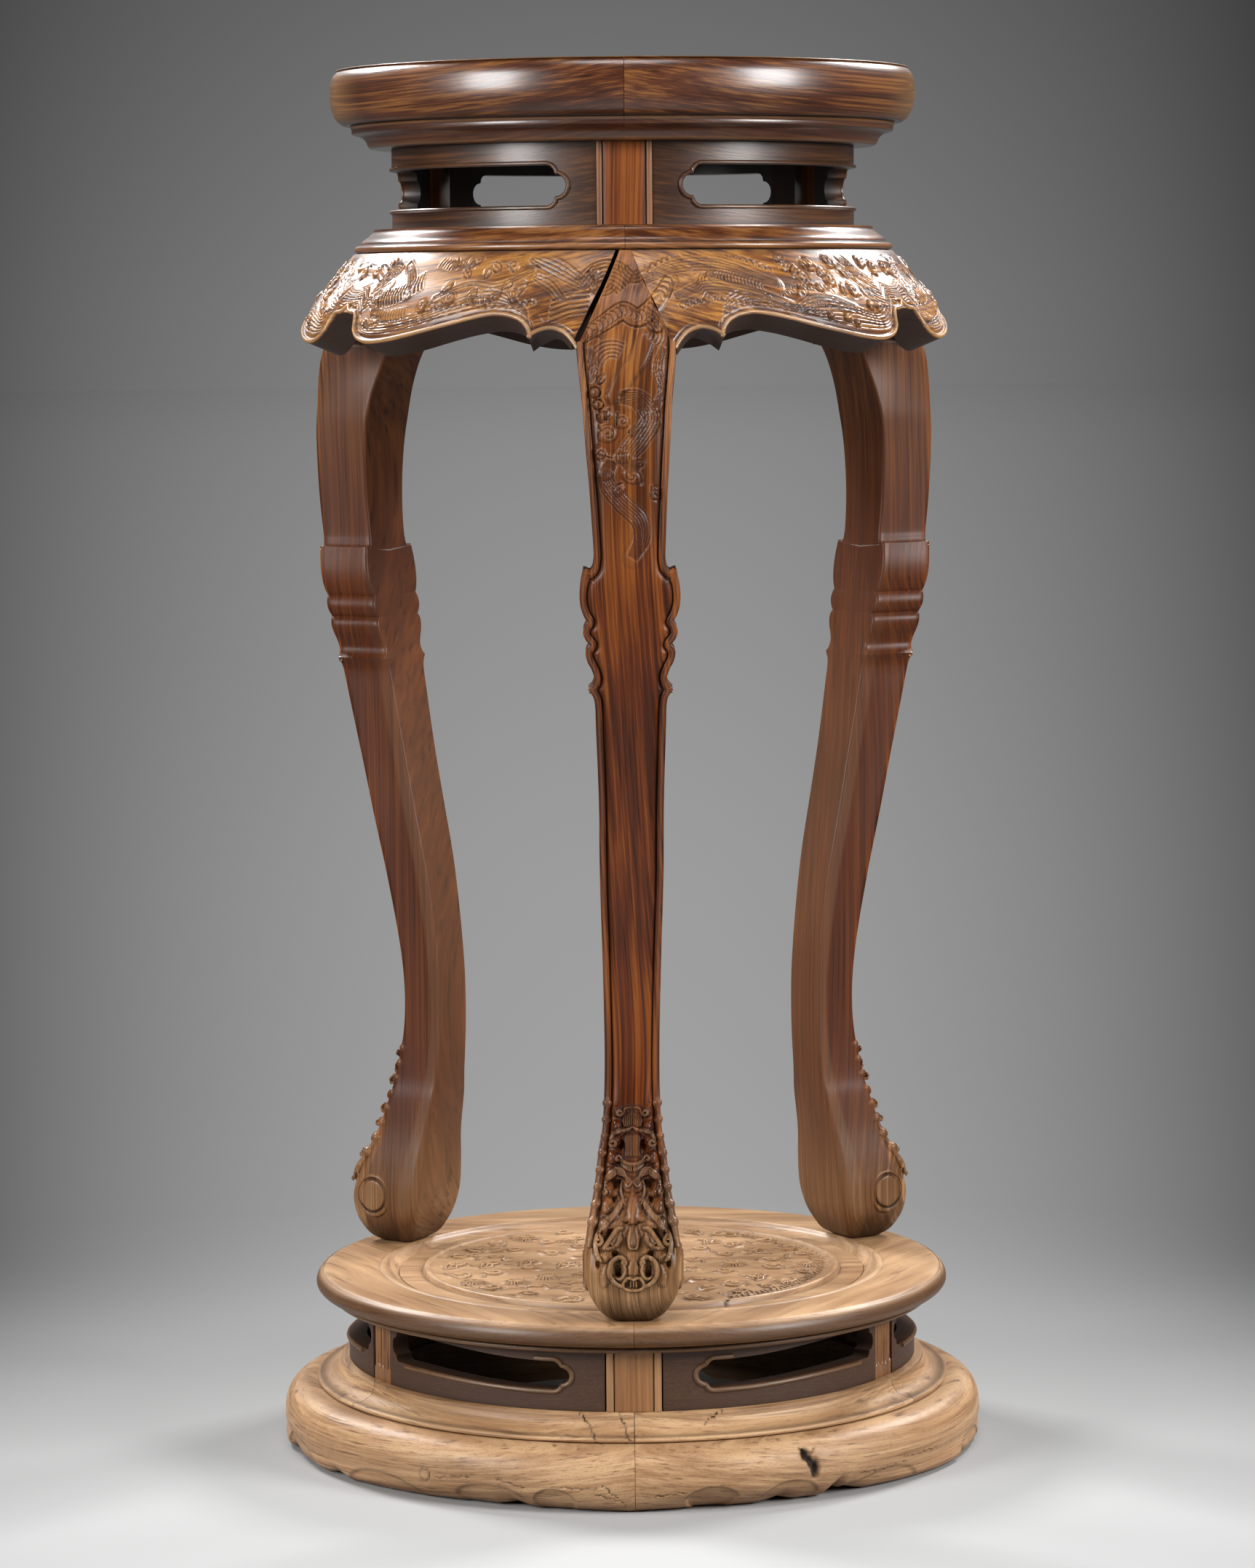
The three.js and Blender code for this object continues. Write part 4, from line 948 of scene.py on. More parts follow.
def carvingPattern():
    # strokes, raised bands and domes on a leg's shoulder and both apron halves; distances from the
    # leg's centre line, heights
    strokes, bands, domes = [], [], []
    # right of the leg: long ribbons, foliage, plates and wave curls
    ribbons = [([(15, 781), (38, 789), (72, 789), (112, 777)], 5, 1.9, 5.4),
               ([(34, 770), (58, 777), (88, 773), (118, 763)], 4, 2.0, 4.6),
               ([(110, 756), (130, 766), (150, 767), (172, 761)], 4, 2.1, 4.6),
               ([(186, 794), (198, 781), (213, 774), (229, 771)], 6, 2.1, 6.4),
               ([(190, 773), (204, 766), (224, 764)], 4, 2.0, 4.4),
               ([(178, 789), (190, 779), (199, 770)], 4, 1.9, 4)]
    # left of it: plates, a branch with leaves, a feathered wing and wave curls
    ribbons += [([(-72, 796), (-50, 789), (-27, 777)], 5, 2.7, 6.5),
                ([(-66, 783), (-54, 778), (-42, 768)], 3, 2.6, 4),
                ([(-140, 770), (-116, 779), (-92, 778), (-68, 787)], 2, 2.4, 2.6),
                ([(-229, 772), (-213, 776), (-200, 785), (-190, 795)], 6, 2.1, 6.4),
                ([(-226, 764), (-208, 767), (-192, 778)], 5, 2.0, 5),
                ([(-184, 792), (-172, 783), (-166, 772)], 4, 2.0, 4)]
    # on the leg: strands of hair, flowing lines at the side and the tail
    ribbons += [([(-4, 708), (7, 706), (14, 695), (7, 682), (0, 672), (4, 662)], 8, 1.9, 7.5),
                ([(23, 738), (19, 726), (22, 712), (18, 702)], 4, 1.7, 3.6),
                ([(-10, 668), (-14, 656), (-5, 643), (6, 632), (8, 620), (2, 608)], 7, 1.8, 6),
                ([(-24, 738), (-20, 728), (-23, 718)], 4, 1.7, 3.4)]
    for path, count, gap, half in ribbons:
        strokes += bundle(path, count, gap)
        bands.append((spline(path, 40), half, 0.9))
    strokes += sideWaves(1, 7, 1.75, 0.22) + sideWaves(-1, 6, 1.7, 0.16)
    strokes += scallops([(18, 788), (45, 796), (80, 795), (112, 785)],
                        2.6) + scallops([(36, 765), (60, 770), (92, 766), (112, 758)], 2.4, -1)
    strokes += scallops([(112, 770), (134, 775), (158, 772)],
                        2.6) + scallops([(-62, 766), (-90, 763), (-116, 766), (-140, 762)], 2.6, -1)
    strokes += scallops([(-196, 762), (-180, 757), (-160, 760)], 2.4,
                        -1) + hatching([(52, 779), (76, 780), (98, 774)], 6, 62, 2.3)
    strokes += hatching([(-190, 764), (-172, 768), (-156, 776)], 11, 118,
                        2.3) + hatching([(-150, 790), (-136, 788), (-126, 792)], 6, 60, 2.4)
    strokes += hatching([(-160, 757), (-178, 755), (-194, 758)], 7, 110, 2.2)
    # nested arcs and the striped plate over the left joint
    strokes += arcs(-13, 767, np.arange(9, 27, 2.5), 38,
                    148) + [np.array([(-50, 754.5 + 3.4 * k), (-38, 759 + 3.3 * k), (-25, 760.5 + 3.2 * k)])
                                                                  for k in range(5)]
    bands.append((spline([(-50, 762), (-38, 765), (-26, 767)], 20), 9, 0.9))
    # the body that winds across the shoulder and the smooth ribbon below it
    body = [(-30, 744), (-14, 754), (-2, 761), (8, 757), (20, 766), (32, 781)]
    bands.append((spline(body, 50), 5.6, 1.7))
    for hand in (1, -1):
        strokes += bundle(body, 2, 11.5 * hand, 50, 0.6)[:1]
    for centre in dense(spline(body, 50), 3.4)[1:-1]:
        strokes += arcs(centre[0], centre[1], [3.4], -60, 110)
    bands.append((spline([(12, 743), (7, 731), (-1, 721), (-7, 709)], 30), 5.8, 2.6))
    strokes += arcs(-9, 727, np.arange(6, 17, 2.4), 60, 170) + arcs(10, 748, np.arange(5, 15, 2.4), -40, 70)
    strokes += arcs(-16, 782, np.arange(4, 11, 2.3), 200, 330) + arcs(6, 790, np.arange(4, 12, 2.3), 180, 350)
    curls = [(124, 789, 4, 20, 1), (136, 781, 4.4, 200, -1), (148, 790, 4, 320, 1), (160, 780, 4.4, 40, 1),
             (171, 791, 3.6, 200, -1), (177, 773, 3.8, 100, 1), (130, 772, 3.4, 250, 1), (208, 791, 4, 120, 1),
             (222, 787, 4, 60, -1), (198, 762, 3.4, 0, 1), (214, 762, 3.2, 90, 1), (62, 783, 3, 30, 1),
             (100, 768, 3, 200, -1), (-84, 790, 3.6, 160, 1), (-104, 786, 3.8, 20, -1),
             (-120, 790, 3.4, 300, 1), (-100, 768, 3.8, 200, 1), (-126, 770, 3.6, 60, -1),
             (-78, 771, 3.4, 120, 1), (-205, 792, 4, 40, -1), (-219, 787, 4, 200, 1),
             (-212, 762, 3.4, 120, -1), (-198, 768, 3.2, 20, 1), (-148, 765, 3.6, 250, 1),
             (-23, 786, 3.4, 30, 1), (-12, 685, 4.6, 40, 1), (-17, 673, 4, 320, -1), (-4, 671, 4.6, 200, 1),
             (-14, 660, 4, 20, -1), (2, 659, 4.4, 150, -1), (-3, 693, 3.6, 90, 1), (-13, 698, 3.2, 300, 1),
             (17, 648, 3.2, 90, 1), (-6, 650, 3.2, 240, -1), (20, 752, 3.6, 60, -1), (-19, 748, 3, 200, 1)]
    for u, v, size, start, hand in curls:
        line, width = curl(u, v, size, start, 1.3, hand,
                           (size * 2 * math.cos(start), size * 1.6 * math.sin(start)))
        strokes.append(line)
        domes.append((u, v, size * 1.25, size * 1.05, start, 1.5, 3))
    leaves = [(118, 795, 9, -30), (128, 783, 10, 40), (141, 793, 9, -60), (152, 783, 10, 20),
              (164, 794, 9, -20), (166, 770, 9, 60), (143, 774, 9, 10), (182, 781, 9, 130),
              (-70, 779, 10, 200), (-82, 782, 10, 230), (-94, 787, 10, 150), (-108, 776, 10, 250),
              (-118, 783, 10, 140), (-130, 780, 10, 230), (-88, 773, 9, 210), (-112, 795, 9, 200),
              (-134, 790, 8, 120), (-16, 692, 8, 100), (-18, 716, 8, 60), (2, 683, 8, 70), (10, 668, 8, 200),
              (216, 795, 8, 200), (-196, 753, 7, 160)]
    for u, v, length, turn in leaves:
        strokes += [line for line, _ in leaf(u, v, length, turn)]
        domes.append((u + 0.5 * length * math.cos(math.radians(turn)),
                      v + 0.5 * length * math.sin(math.radians(turn)), length * 0.5, length * 0.28, turn, 1.1,
                      2.5))
    # round bubbles on the waves and small beads beside the hair
    for u, v, size in [(161, 756, 2.8), (188, 763, 2.6), (168, 752, 2), (146, 757, 2), (-20, 711, 2.9),
                       (-18, 703.5, 2.7), (-16, 696.5, 2.4)]:
        domes.append((u, v, size, size, 0, 1.8, 2.2))
        strokes += arcs(u, v, [size + 0.5], 0, 360)
    return [np.asarray(line, float) for line in strokes], bands, domes


def engraved(u, v, strokes, bands, domes):
    # height and shade of ground with cut lines, low raised bands and domes
    flat = np.stack([u.ravel(), v.ravel()], -1)
    cut = distanceTo(flat, np.concatenate([dense(points) for points in strokes])).reshape(u.shape)
    paths = [dense(points, 0.8) for points, half, height in bands]
    away, which = nearest(flat, np.concatenate(paths))
    number = np.repeat(np.arange(len(bands)), [len(path) for path in paths])[which]
    halves, heights = np.array([(half, height) for points, half, height in bands], float)[number].T
    band = (heights * np.sqrt(np.clip(1 - (away / halves) ** 4, 0, 1))).reshape(u.shape)
    foot = bell(away - halves, 0.5, 0.7).reshape(u.shape)
    groove, lip = bell(cut, 0, 0.5), bell(cut, 1.05, 0.45)
    height = np.maximum(domeHeights(u, v, domes), band - 0.4) - 0.6 * groove + 0.25 * lip
    return height, -0.7 * groove + 0.5 * lip - 0.25 * foot


def nearest(points, line):
    # distance from each flat point to the nearest of a line's densely set points, and that point's number
    tree = kdtree.KDTree(len(line))
    for i, (u, v) in enumerate(line):
        tree.insert((u, v, 0), i)
    tree.balance()
    found = [tree.find((u, v, 0)) for u, v in points]
    return np.array([hit[2] for hit in found]), np.array([hit[1] for hit in found])


def distanceTo(points, line):
    return nearest(points, line)[0]


def dense(points, step=0.4):
    points = np.asarray(points, float)
    length = np.concatenate([[0], np.cumsum(np.linalg.norm(np.diff(points, axis=0), axis=1))])
    fine = np.linspace(0, length[-1], max(2, int(length[-1] / step)))
    return np.stack([np.interp(fine, length, points[:, k]) for k in range(2)], -1)


def carvedGround(u, v, lines, domes):
    # height of the ground and its shade: cut down beside each line, raised on the domes
    flat = np.stack([u.ravel(), v.ravel()], -1)
    cut = distanceTo(flat, np.concatenate([dense(points) for points, _ in lines])).reshape(u.shape)
    height = domeHeights(u, v, domes)
    beside = bell(cut, 1.3, 0.7)
    carved = smoothStep(9, 4, cut)
    return height - 0.5 * beside - 0.35 * carved, -0.75 * beside * (cut > 0.5) + 0.3 * (cut < 0.5)


def apronColumns(edge):
    # azimuths closer together where the lower edge turns, and how far each column leans with the mitres
    low, top = apron["mitreLow"], apron["mitreTop"]
    even = np.linspace(low, 120 - low, apron["columns"])
    angles = np.unique(np.round(np.concatenate([even, edge[:, 0]]), 3))
    angles = angles[np.concatenate([[True], np.diff(angles) > apron["closest"]])]
    share = (angles - low) / (120 - 2 * low)
    return angles, share, top + share * (120 - 2 * top)


def apronBoard():
    scale, top = apron["perDegree"], apron["top"]
    edge = apronEdge()
    angles, share, topAngle = apronColumns(edge)
    edgeHeight = np.interp(angles, edge[:, 0], edge[:, 1])

    def spread(down):
        # azimuth and height of each point, from the top (0) down to the cusped edge (1)
        return topAngle[:, None] + (angles - topAngle)[:,
                None] * down, top + (edgeHeight[:, None] - top) * down

    angle, z = spread(np.linspace(0, 1, apron["rows"])[None, :])
    fromLeg = np.where(angle < 60, angle, angle - 120) * scale
    height, shade = engraved(fromLeg, z, *carvingPattern())
    edgeAway = distanceTo(np.stack([(angle * scale).ravel(), z.ravel()], -1),
                          dense(edge * (scale, 1))).reshape(z.shape)
    topAway = top - z
    # the carving stops short of the bead, the top and the middle line, where two patterns meet
    held = smoothStep(60 * scale, 59 * scale, np.abs(fromLeg)) * smoothStep(3.6, 6.2,
            edgeAway) * smoothStep(1.5, 6, topAway)
    height = height * held - 0.9 * bell(edgeAway, 3.6, 0.7)
    # painted shade in the groove inside the bead and under the collar along the top
    shade = shade * held - 0.6 * bell(edgeAway, 3.5, 0.6) - 0.7 * np.exp(-topAway / 1.2)
    front = apronSurface(angle, z, height)

    # back of the board, and the square edge under it
    down = np.linspace(1, 0, apron["backRows"])[None, :]
    angle, z = spread(down)
    slope = (curveAt(shoulderProfile, z + 1) - curveAt(shoulderProfile, z - 1)) / 2
    length = np.hypot(1, slope)
    fromMitre = np.minimum(angles, 120 - angles) - apron["mitreLow"]
    lowThickness = np.interp(smoothStep(2.2, 6.5, fromMitre), [0, 1],
                             [apron["endThickness"], apron["thickness"]])
    thickness = apron["topThickness"] + (lowThickness[:, None] - apron["topThickness"]) * down
    turn = np.minimum(1, down * 2)
    inward = thickness * (1 + (1 / length - 1) * turn)
    downward = thickness * -slope / length * turn
    mitre = (apron["mitreLow"] - apron["mitreTop"]) / (top - edgeRuns[0][0][1])
    swing = downward * mitre * (1 - 2 * share[:, None])
    back = polar(curveAt(shoulderProfile, z) - inward, angle + swing, z - downward)
    # one more row close behind the bead, so that the painted shade of the underside begins at once; the
    # underside also takes the dark patina tone as painted shade
    close = front[:, -1:] * 0.93 + back[:, :1] * 0.07
    shades = [shade, np.full(close.shape[:2], -0.7), np.full(back.shape[:2], -0.9)]
    dark = [0 * shade, np.full(close.shape[:2], 0.9), np.full(back.shape[:2], 0.9)]
    return loft(np.concatenate([front, close, back], 1), np.concatenate(shades, 1), np.concatenate(dark, 1))


def makeAprons():
    finish = finishes["carved_wood"]
    board = apronBoard()
    path = offsetEdge(apronEdge(), apron["beadInset"])
    # the edge bead is painted lighter: painted highlight and wear
    rim = beads([(apronSurface(path[:, 0], path[:, 1], -0.3), apron["bead"], False)], finish, 12, 0.75)
    for k, (side, azimuth) in enumerate(thirdTurns.items()):
        parts = [turned(piece, azimuth) for piece in (board, rim)]
        makePiece(f"carved_apron_{side}", parts, finish, [f"apron_{side}"], azimuth + 150,
                  0.15 + 0.5 * k, 40)
    print("stage: aprons")


def offsetEdge(edge, distance):
    # the edge line moved up into the board
    scale = np.array([apron["perDegree"], 1])
    flat = dense(edge * scale, 0.9)
    return (flat + sideways(flat) * distance) / scale


# Legs

leg = {"foot": 117.3, "top": 752, "across": 89, "spread": 0.82, "topHalf": 24.2, "bead": 1.7, "groove": 5.0,
       "crown": 2.0, "sideTone": 0.66, "backTone": 0.7, "bow": {"front": 1.2, "right": 0, "left": 0},
       # heights between which rows and bead points have one step, in mm
       "rows": [(117.3, 137, 0.9), (137, 256, 0.62), (256, 515, 3.0), (515, 607, 0.8), (607, 752, 0.72)],
       "beadSteps": [(167, 264, 1.1), (264, 515, 3.0), (515, 607, 0.7), (607, 745, 3.0)],
       "edgeRound": [(117.3, 6), (130, 9), (165, 9), (190, 5), (215, 1.2), (240, 1.2), (752, 1.2)],
       "backRound": [(117.3, 4.5), (165, 6), (215, 2), (240, 2), (752, 2)]}
# height, radius of the back and of the front face
legProfile = [(117.3, 170, 194), (121, 164, 199.5), (127, 160.5, 203.8), (137, 156.5, 207.5),
              (151, 153, 208.2), (170, 150.5, 203), (191, 148.8, 190.5), (212, 145.8, 182.5),
              (234, 142.5, 176.3), (273, 139.7, 169.4), (314, 140.8, 170.2), (374, 147.9, 180.8),
              (424, 157.4, 192.2), (474, 166.8, 203.2), (524, 175.3, 213.7), (560, 181.3, 220.5),
              (594, 186.8, 225.6), (634, 190.3, 229.4), (674, 189.3, 229.8), (702, 184.2, 227.3),
              (724, 176.5, 224), (737.5, 169.8, 219.5), (752, 159.3, 213.6)]
widthRuns = [[(117.3, 13), (121, 18.5), (127, 23.5), (137, 28.5), (153, 31.2), (172, 29.2), (197, 24.6),
              (220, 21.8), (237, 19), (273, 17.6), (314, 18), (357, 19), (405, 20.3), (452, 20.6), (500, 22.1),
              (512, 22.4), (519, 23.4), (524.7, 26.9)],
             [(524.7, 26.9), (527.4, 24.2), (531.7, 22.9), (537, 24.4), (542, 27), (547, 28.2), (550.5, 27.6),
              (553, 25.6)],
             [(553, 25.6), (556, 28), (559.5, 29.5), (563, 29.4), (566, 28.2), (567.6, 26.9)],
             [(567.6, 26.9), (571, 29), (577, 31), (583, 31.6), (589, 31), (594, 29.8), (597.5, 29.2)],
             [(597.5, 29.2), (599.2, 25.6), (601.6, 23.6), (605, 22.8), (613, 22.5), (648, 24.3), (684, 26.8),
              (702, 27.9), (729, 30.6), (737.5, 31.2)]]


def legHalf(z):
    outline = np.concatenate([spline(run, 12 * (len(run) - 1)) for run in widthRuns])
    order = np.argsort(outline[:, 0], kind="stable")
    return np.interp(z, outline[order, 0], outline[order, 1])


def hookLift(y, z):
    # the upper tips of the ornament halfway up the leg hook upwards
    return 3.6 * smoothStep(23.5, 29.5, np.abs(y)) * smoothStep(575, 597, z) * smoothStep(601, 598, z)


def faceFront(y, z):
    # distance from the stand's axis to the leg's front face, without its relief
    return curveAt(legProfile, z, 2) - 0.0006 * y * y


def maskCarving():
    # the beast mask and the tiers of curls on the front of a foot, right half; the rest mirrors it
    lines, domes = [], []
    # two small curls under the plain part of the leg
    lines.append(curl(8.2, 250, 2.6, 250, 1.2, -1, (-7.6, 2.2), 0.95))
    lines.append(curl(12.6, 231, 3.0, 300, 1.2, 1, (-5, 8), 1.15))
    lines.append(strand([(0, 240), (4, 238), (9, 237.5), (13, 234.5), (15.5, 229)], 1.2))
    domes += [(9.5, 236, 5, 3, -30, 1.6, 3), (8.2, 228.5, 2.6, 4, 20, -3.4, 3),
              (9.5, 220.5, 3, 2.6, 0, 1.8, 2.5)]
    lines.append(curl(9.6, 220.5, 2.4, 180, 1.1, 1, None, 1.0))
    lines.append(strand([(0, 216.5), (4, 217.2), (7.6, 219.5)], 1.6, 14, (1, 1, 1, 0.8)))
    for k in range(7):
        lines.append((spline([(0.8 + 1.1 * k, 216.2 + 0.09 * k * k), (0.7 + 1.0 * k, 212.6 + 0.09 * k * k)],
                             4), 0.42))
    # brows of four parallel ridges that end in a curl
    for k in range(4):
        lift = 1.25 * k
        lines.append(strand([(1.5 + 0.8 * k, 207.6 - 0.4 * lift), (6, 209.8 + 0.9 * lift),
                             (11, 211 + 0.9 * lift), (15.5, 208 + lift), (18.6 + 0.5 * k, 202.5 + 0.3 * lift)],
                            0.72))
    lines.append(curl(18.4, 200.5, 2.5, 90, 1.2, -1, None, 1.0))
    domes += [(11.2, 204.4, 4.4, 3.2, -12, -4.2, 4), (12.6, 199.4, 3, 2.9, 0, 2.6, 2.5),
              (12, 195, 1.9, 2.6, 15, -3.2, 3)]
    # nose, nostrils and the long lip below it
    domes += [(0, 190, 5.6, 9.5, 0, 4.6, 2.4), (5.2, 184.5, 3, 2.6, 0, 3.4, 2.4),
              (0, 172.5, 3.6, 7.5, 0, 3.4, 3), (0, 203.5, 6.6, 4.6, 0, 2.6, 3)]
    lines += [strand([(1.7, 179), (2.9, 172), (2.2, 167.4), (0, 166.4)], 0.75, 14),
              strand([(0.8, 206), (3, 203.5), (5.4, 206)], 0.7, 12),
              strand([(7, 206.5), (7.4, 200), (6.6, 196)], 0.8, 12)]
    # twisted bands from the nose out over the cheeks
    for k in range(3):
        lines.append(strand([(4.5 + 1.2 * k, 195.6 - 0.2 * k), (8.5 + 1.1 * k, 190),
                             (13.6 + k, 183.8 + 0.4 * k), (19.4, 178.6 + 1.2 * k)], 0.85))
    for k in range(11):
        t = k / 10
        centre = np.array([5.5 + 13.4 * t, 194 - 15 * t + 2 * t * t])
        lines.append((np.array([centre - (0.5, 1.5), centre + (0.9, 1.3)]), 0.5))
    domes += [(15, 189.5, 5.2, 7.5, -35, 1.2, 4)]
    # moustache scrolls over the deep cuts
    lines += [curl(15.8, 167.6, 3.4, 140, 1.15, 1, None, 1.2),
              strand([(6.5, 178.5), (10.5, 177.8), (14.2, 172.6), (19, 166.2)], 1.7, 20, (0.7, 1, 1, 0.9)),
              strand([(8, 176), (9.8, 170), (14.5, 166.4)], 1.3, 16),
              curl(22.8, 171, 3.2, 200, 1.2, -1, (-2.5, 8), 1.4),
              strand([(22.6, 177), (24.4, 171), (23.2, 163), (20.5, 159)], 1.5, 16)]
    domes += [(16.2, 174.2, 2.4, 5, 35, -4.4, 4), (10.4, 172, 4.4, 3.2, -40, 2.6, 3),
              (11.4, 162.6, 2.7, 2.6, 0, -4, 4), (22.4, 156.4, 1.9, 2.9, 0, -3.6, 4),
              (19.6, 160.5, 3.6, 3, 30, 2.4, 3)]
    # snout: two upright holes in round rims over the crescent mouth
    lines += [strand([(5.2, 159.6), (8.6, 161.4), (13.6, 158.6), (15.4, 152), (12.6, 145.8), (7.2, 142.6)],
                     1.5, 26, (0.9, 1, 1, 0.7)),
              strand([(6.2, 157.6), (5.4, 152), (8, 147.8), (11.6, 148.4)], 0.9, 16),
              curl(6.2, 157.8, 2, 260, 1.0, 1, None, 1.1, 14),
              strand([(0, 147.2), (3, 148.4), (6.2, 145.6), (6.4, 142.2), (3.4, 140.4), (0, 140)], 0.85, 22,
                     (1, 1, 1, 1))]
    domes += [(9.9, 152.2, 2.1, 4, -6, -5.2, 4), (0, 143.6, 5.6, 2.2, 0, -3.4, 4),
              (0, 152.5, 4.4, 7.4, 0, 1.6, 3), (17.2, 150, 3.4, 8.5, 14, 1.4, 3)]
    for k in (-1, 0, 1):
        lines.append((np.array([(1.7 * k, 146), (1.8 * k, 142.4)]), 0.5))
    # knobs down both edges, which show against the light from the side
    domes += [(float(legHalf(v)) - 8.4, v, 3.5, 4.2, 0, 5.4, 2.5) for v in (250, 240.5, 231, 221, 211.5, 201.5,
            191, 180)]
    # fine upright lines on the brow and between the tiers
    for k in range(5):
        lines.append((spline([(0.6 + 1.25 * k, 248.4 - 0.5 * k), (0.7 + 1.2 * k, 241.5 - 0.3 * k)], 4), 0.32))
        lines.append((spline([(0.5 + 0.95 * k, 234.5), (0.5 + 0.9 * k, 222)], 4), 0.32))
    return lines, domes


def shaftGround(y, z, lines, domes, outline):
    # relief of the front face: groove inside the bead, rounded field, carving on top
    away = distanceTo(np.stack([y.ravel(), z.ravel()], -1), outline).reshape(y.shape)
    beadFade = smoothStep(158, 170, z)
    field = np.sin(np.clip((away - leg["groove"]) / 6, 0, 1) * math.pi / 2) * leg["crown"]
    groove = bell(away - leg["groove"], 0, 0.75) * beadFade
    inside = smoothStep(leg["groove"] - 0.2, leg["groove"] + 1.6, away) * beadFade + (1 - beadFade)
    height, shade = carvedGround(y, z, lines, domes)
    maskZone = smoothStep(262, 250, z) * smoothStep(130, 139, z)
    upperHeight, upperShade = engraved(y, z, *carvingPattern())
    upperZone = smoothStep(592, 600, z)
    height = (height * maskZone + upperHeight * upperZone) * inside + field * beadFade - 1.5 * groove
    shade = (shade * maskZone + upperShade * upperZone) * inside - 0.8 * groove
    return height, shade


def maskMirrored():
    lines, domes = maskCarving()
    lines += [(points * (-1, 1), width) for points, width in lines]
    domes += [(-u, v, ru, rv, -turn, height, power) for u, v, ru, rv, turn, height, power in domes if u > 0]
    return lines, domes


def stepsOf(runs):
    return np.concatenate([np.arange(*run) for run in runs] + [[run[0][0] for run in widthRuns[1:]]])


def legShaft(lines, domes):
    # from the foot up to the mitres: front face with its relief, sides and back
    z = np.unique(np.append(stepsOf(leg["rows"]), leg["top"]))
    upper = smoothStep(737.5, leg["top"], z)
    half = legHalf(z) * (1 - upper) + leg["topHalf"] * upper
    limit = math.pi / 2 * leg["spread"]
    y = half[:, None] * (np.sin(np.linspace(-1, 1, leg["across"]) * limit) / math.sin(limit))[None, :]
    rows = np.repeat(z[:, None], leg["across"], 1)
    outline = np.arange(120, leg["top"], 0.5)
    edges = np.concatenate([np.stack([hand * legHalf(outline), outline], -1) for hand in (1, -1)])
    height, shade = shaftGround(y, rows, lines, domes, edges)
    # painted shade at the bottom of the foot, over the floor
    shade = shade - 0.75 * smoothStep(139, 121, rows)
    edgeRound = curveAt(leg["edgeRound"], rows)
    short = np.clip(edgeRound - half[:, None] + np.abs(y), 0, None)
    x = faceFront(y, rows) + height - edgeRound + np.sqrt(np.clip(edgeRound ** 2 - short ** 2, 0, None))
    front = np.stack([x, y, rows + hookLift(y, rows)], -1)

    inner, outer = curveAt(legProfile, z, 1), curveAt(legProfile, z, 2)
    ease = curveAt(leg["backRound"], z)
    halfBack = half * (1 + smoothStep(684, 730, z) * ((inner + ease) / outer - 1))
    sides = []
    for t in np.linspace(0, 1, 12)[1:]:
        sunk = 0.5 * np.sin(np.pi * t) * smoothStep(200, 260, z)
        sides.append((x[:, -1] + (inner + ease - x[:, -1]) * t, half + (halfBack - half) * t - sunk))
    for angle in np.radians(np.linspace(0, 90, 6))[1:]:
        sides.append((inner + ease - ease * math.sin(angle), halfBack - ease + ease * math.cos(angle)))
    right = np.stack([np.stack([px, py, z], -1) for px, py in sides], 1)
    right[..., 2] += hookLift(right[..., 1], right[..., 2])
    middle = np.stack([inner, 0 * inner, z], -1)[:, None]
    sections = np.concatenate([front, right, middle, right[:, ::-1] * (1, -1, 1)], 1)
    # on the sides: a little lighter towards the back lower down, and painted shade at the bottom of the foot
    wearAndPaintedLight = np.zeros(right.shape[:2])
    wearAndPaintedLight[:, 8:] = (0.25 * smoothStep(640, 400, z))[:, None]
    wearAndPaintedLight -= (0.7 * smoothStep(146, 122, z))[:, None]
    side = np.full(right.shape[:2], leg["sideTone"])
    tone = np.concatenate([0 * shade, side, np.full((len(z), 1), leg["backTone"]), side], 1)
    return loft(sections, np.concatenate([shade, wearAndPaintedLight, wearAndPaintedLight[:, -1:], wearAndPaintedLight[:, ::-1]], 1), tone)


def legBeads(finish):
    # beads along both edges of the face, knobby over the foot
    z = np.unique(stepsOf(leg["beadSteps"]))
    flat = np.stack([legHalf(z), z], -1)
    moved = flat + sideways(flat) * 2.0
    lines = []
    for hand in (1, -1):
        y, z = moved[:, 0] * hand, moved[:, 1]
        knobs = smoothStep(168, 178, z) * smoothStep(262, 256, z) * np.maximum(0,
                np.sin(z * math.tau / 10.5)) ** 0.7
        width = leg["bead"] * np.interp(z, [167, 175, 215], [1.1, 1.25, 1]) * (1 + 0.9 * knobs)
        lines.append((np.stack([faceFront(y, z) - 1.5, y, z + hookLift(y * 1.03, z)], -1), width, False))
    return beads(lines, finish, 10, 0.3)


def maskRidges(lines, domes, finish):
    # the mask's lines as rounded ridges on the face
    ridges = []
    for points, width in lines:
        u, v = points.T
        x = faceFront(u, v) + np.maximum(domeHeights(u, v, domes), -0.6) + leg["crown"] - 0.15
        keep = np.abs(u) < legHalf(v) - np.where(v > 160, 5.2, 3)
        if keep.sum() > 1:
            ridges.append((np.stack([x, u, v], -1)[keep], (0 * u + width)[keep], False))
    return beads(ridges, finish, 6, 0.45)


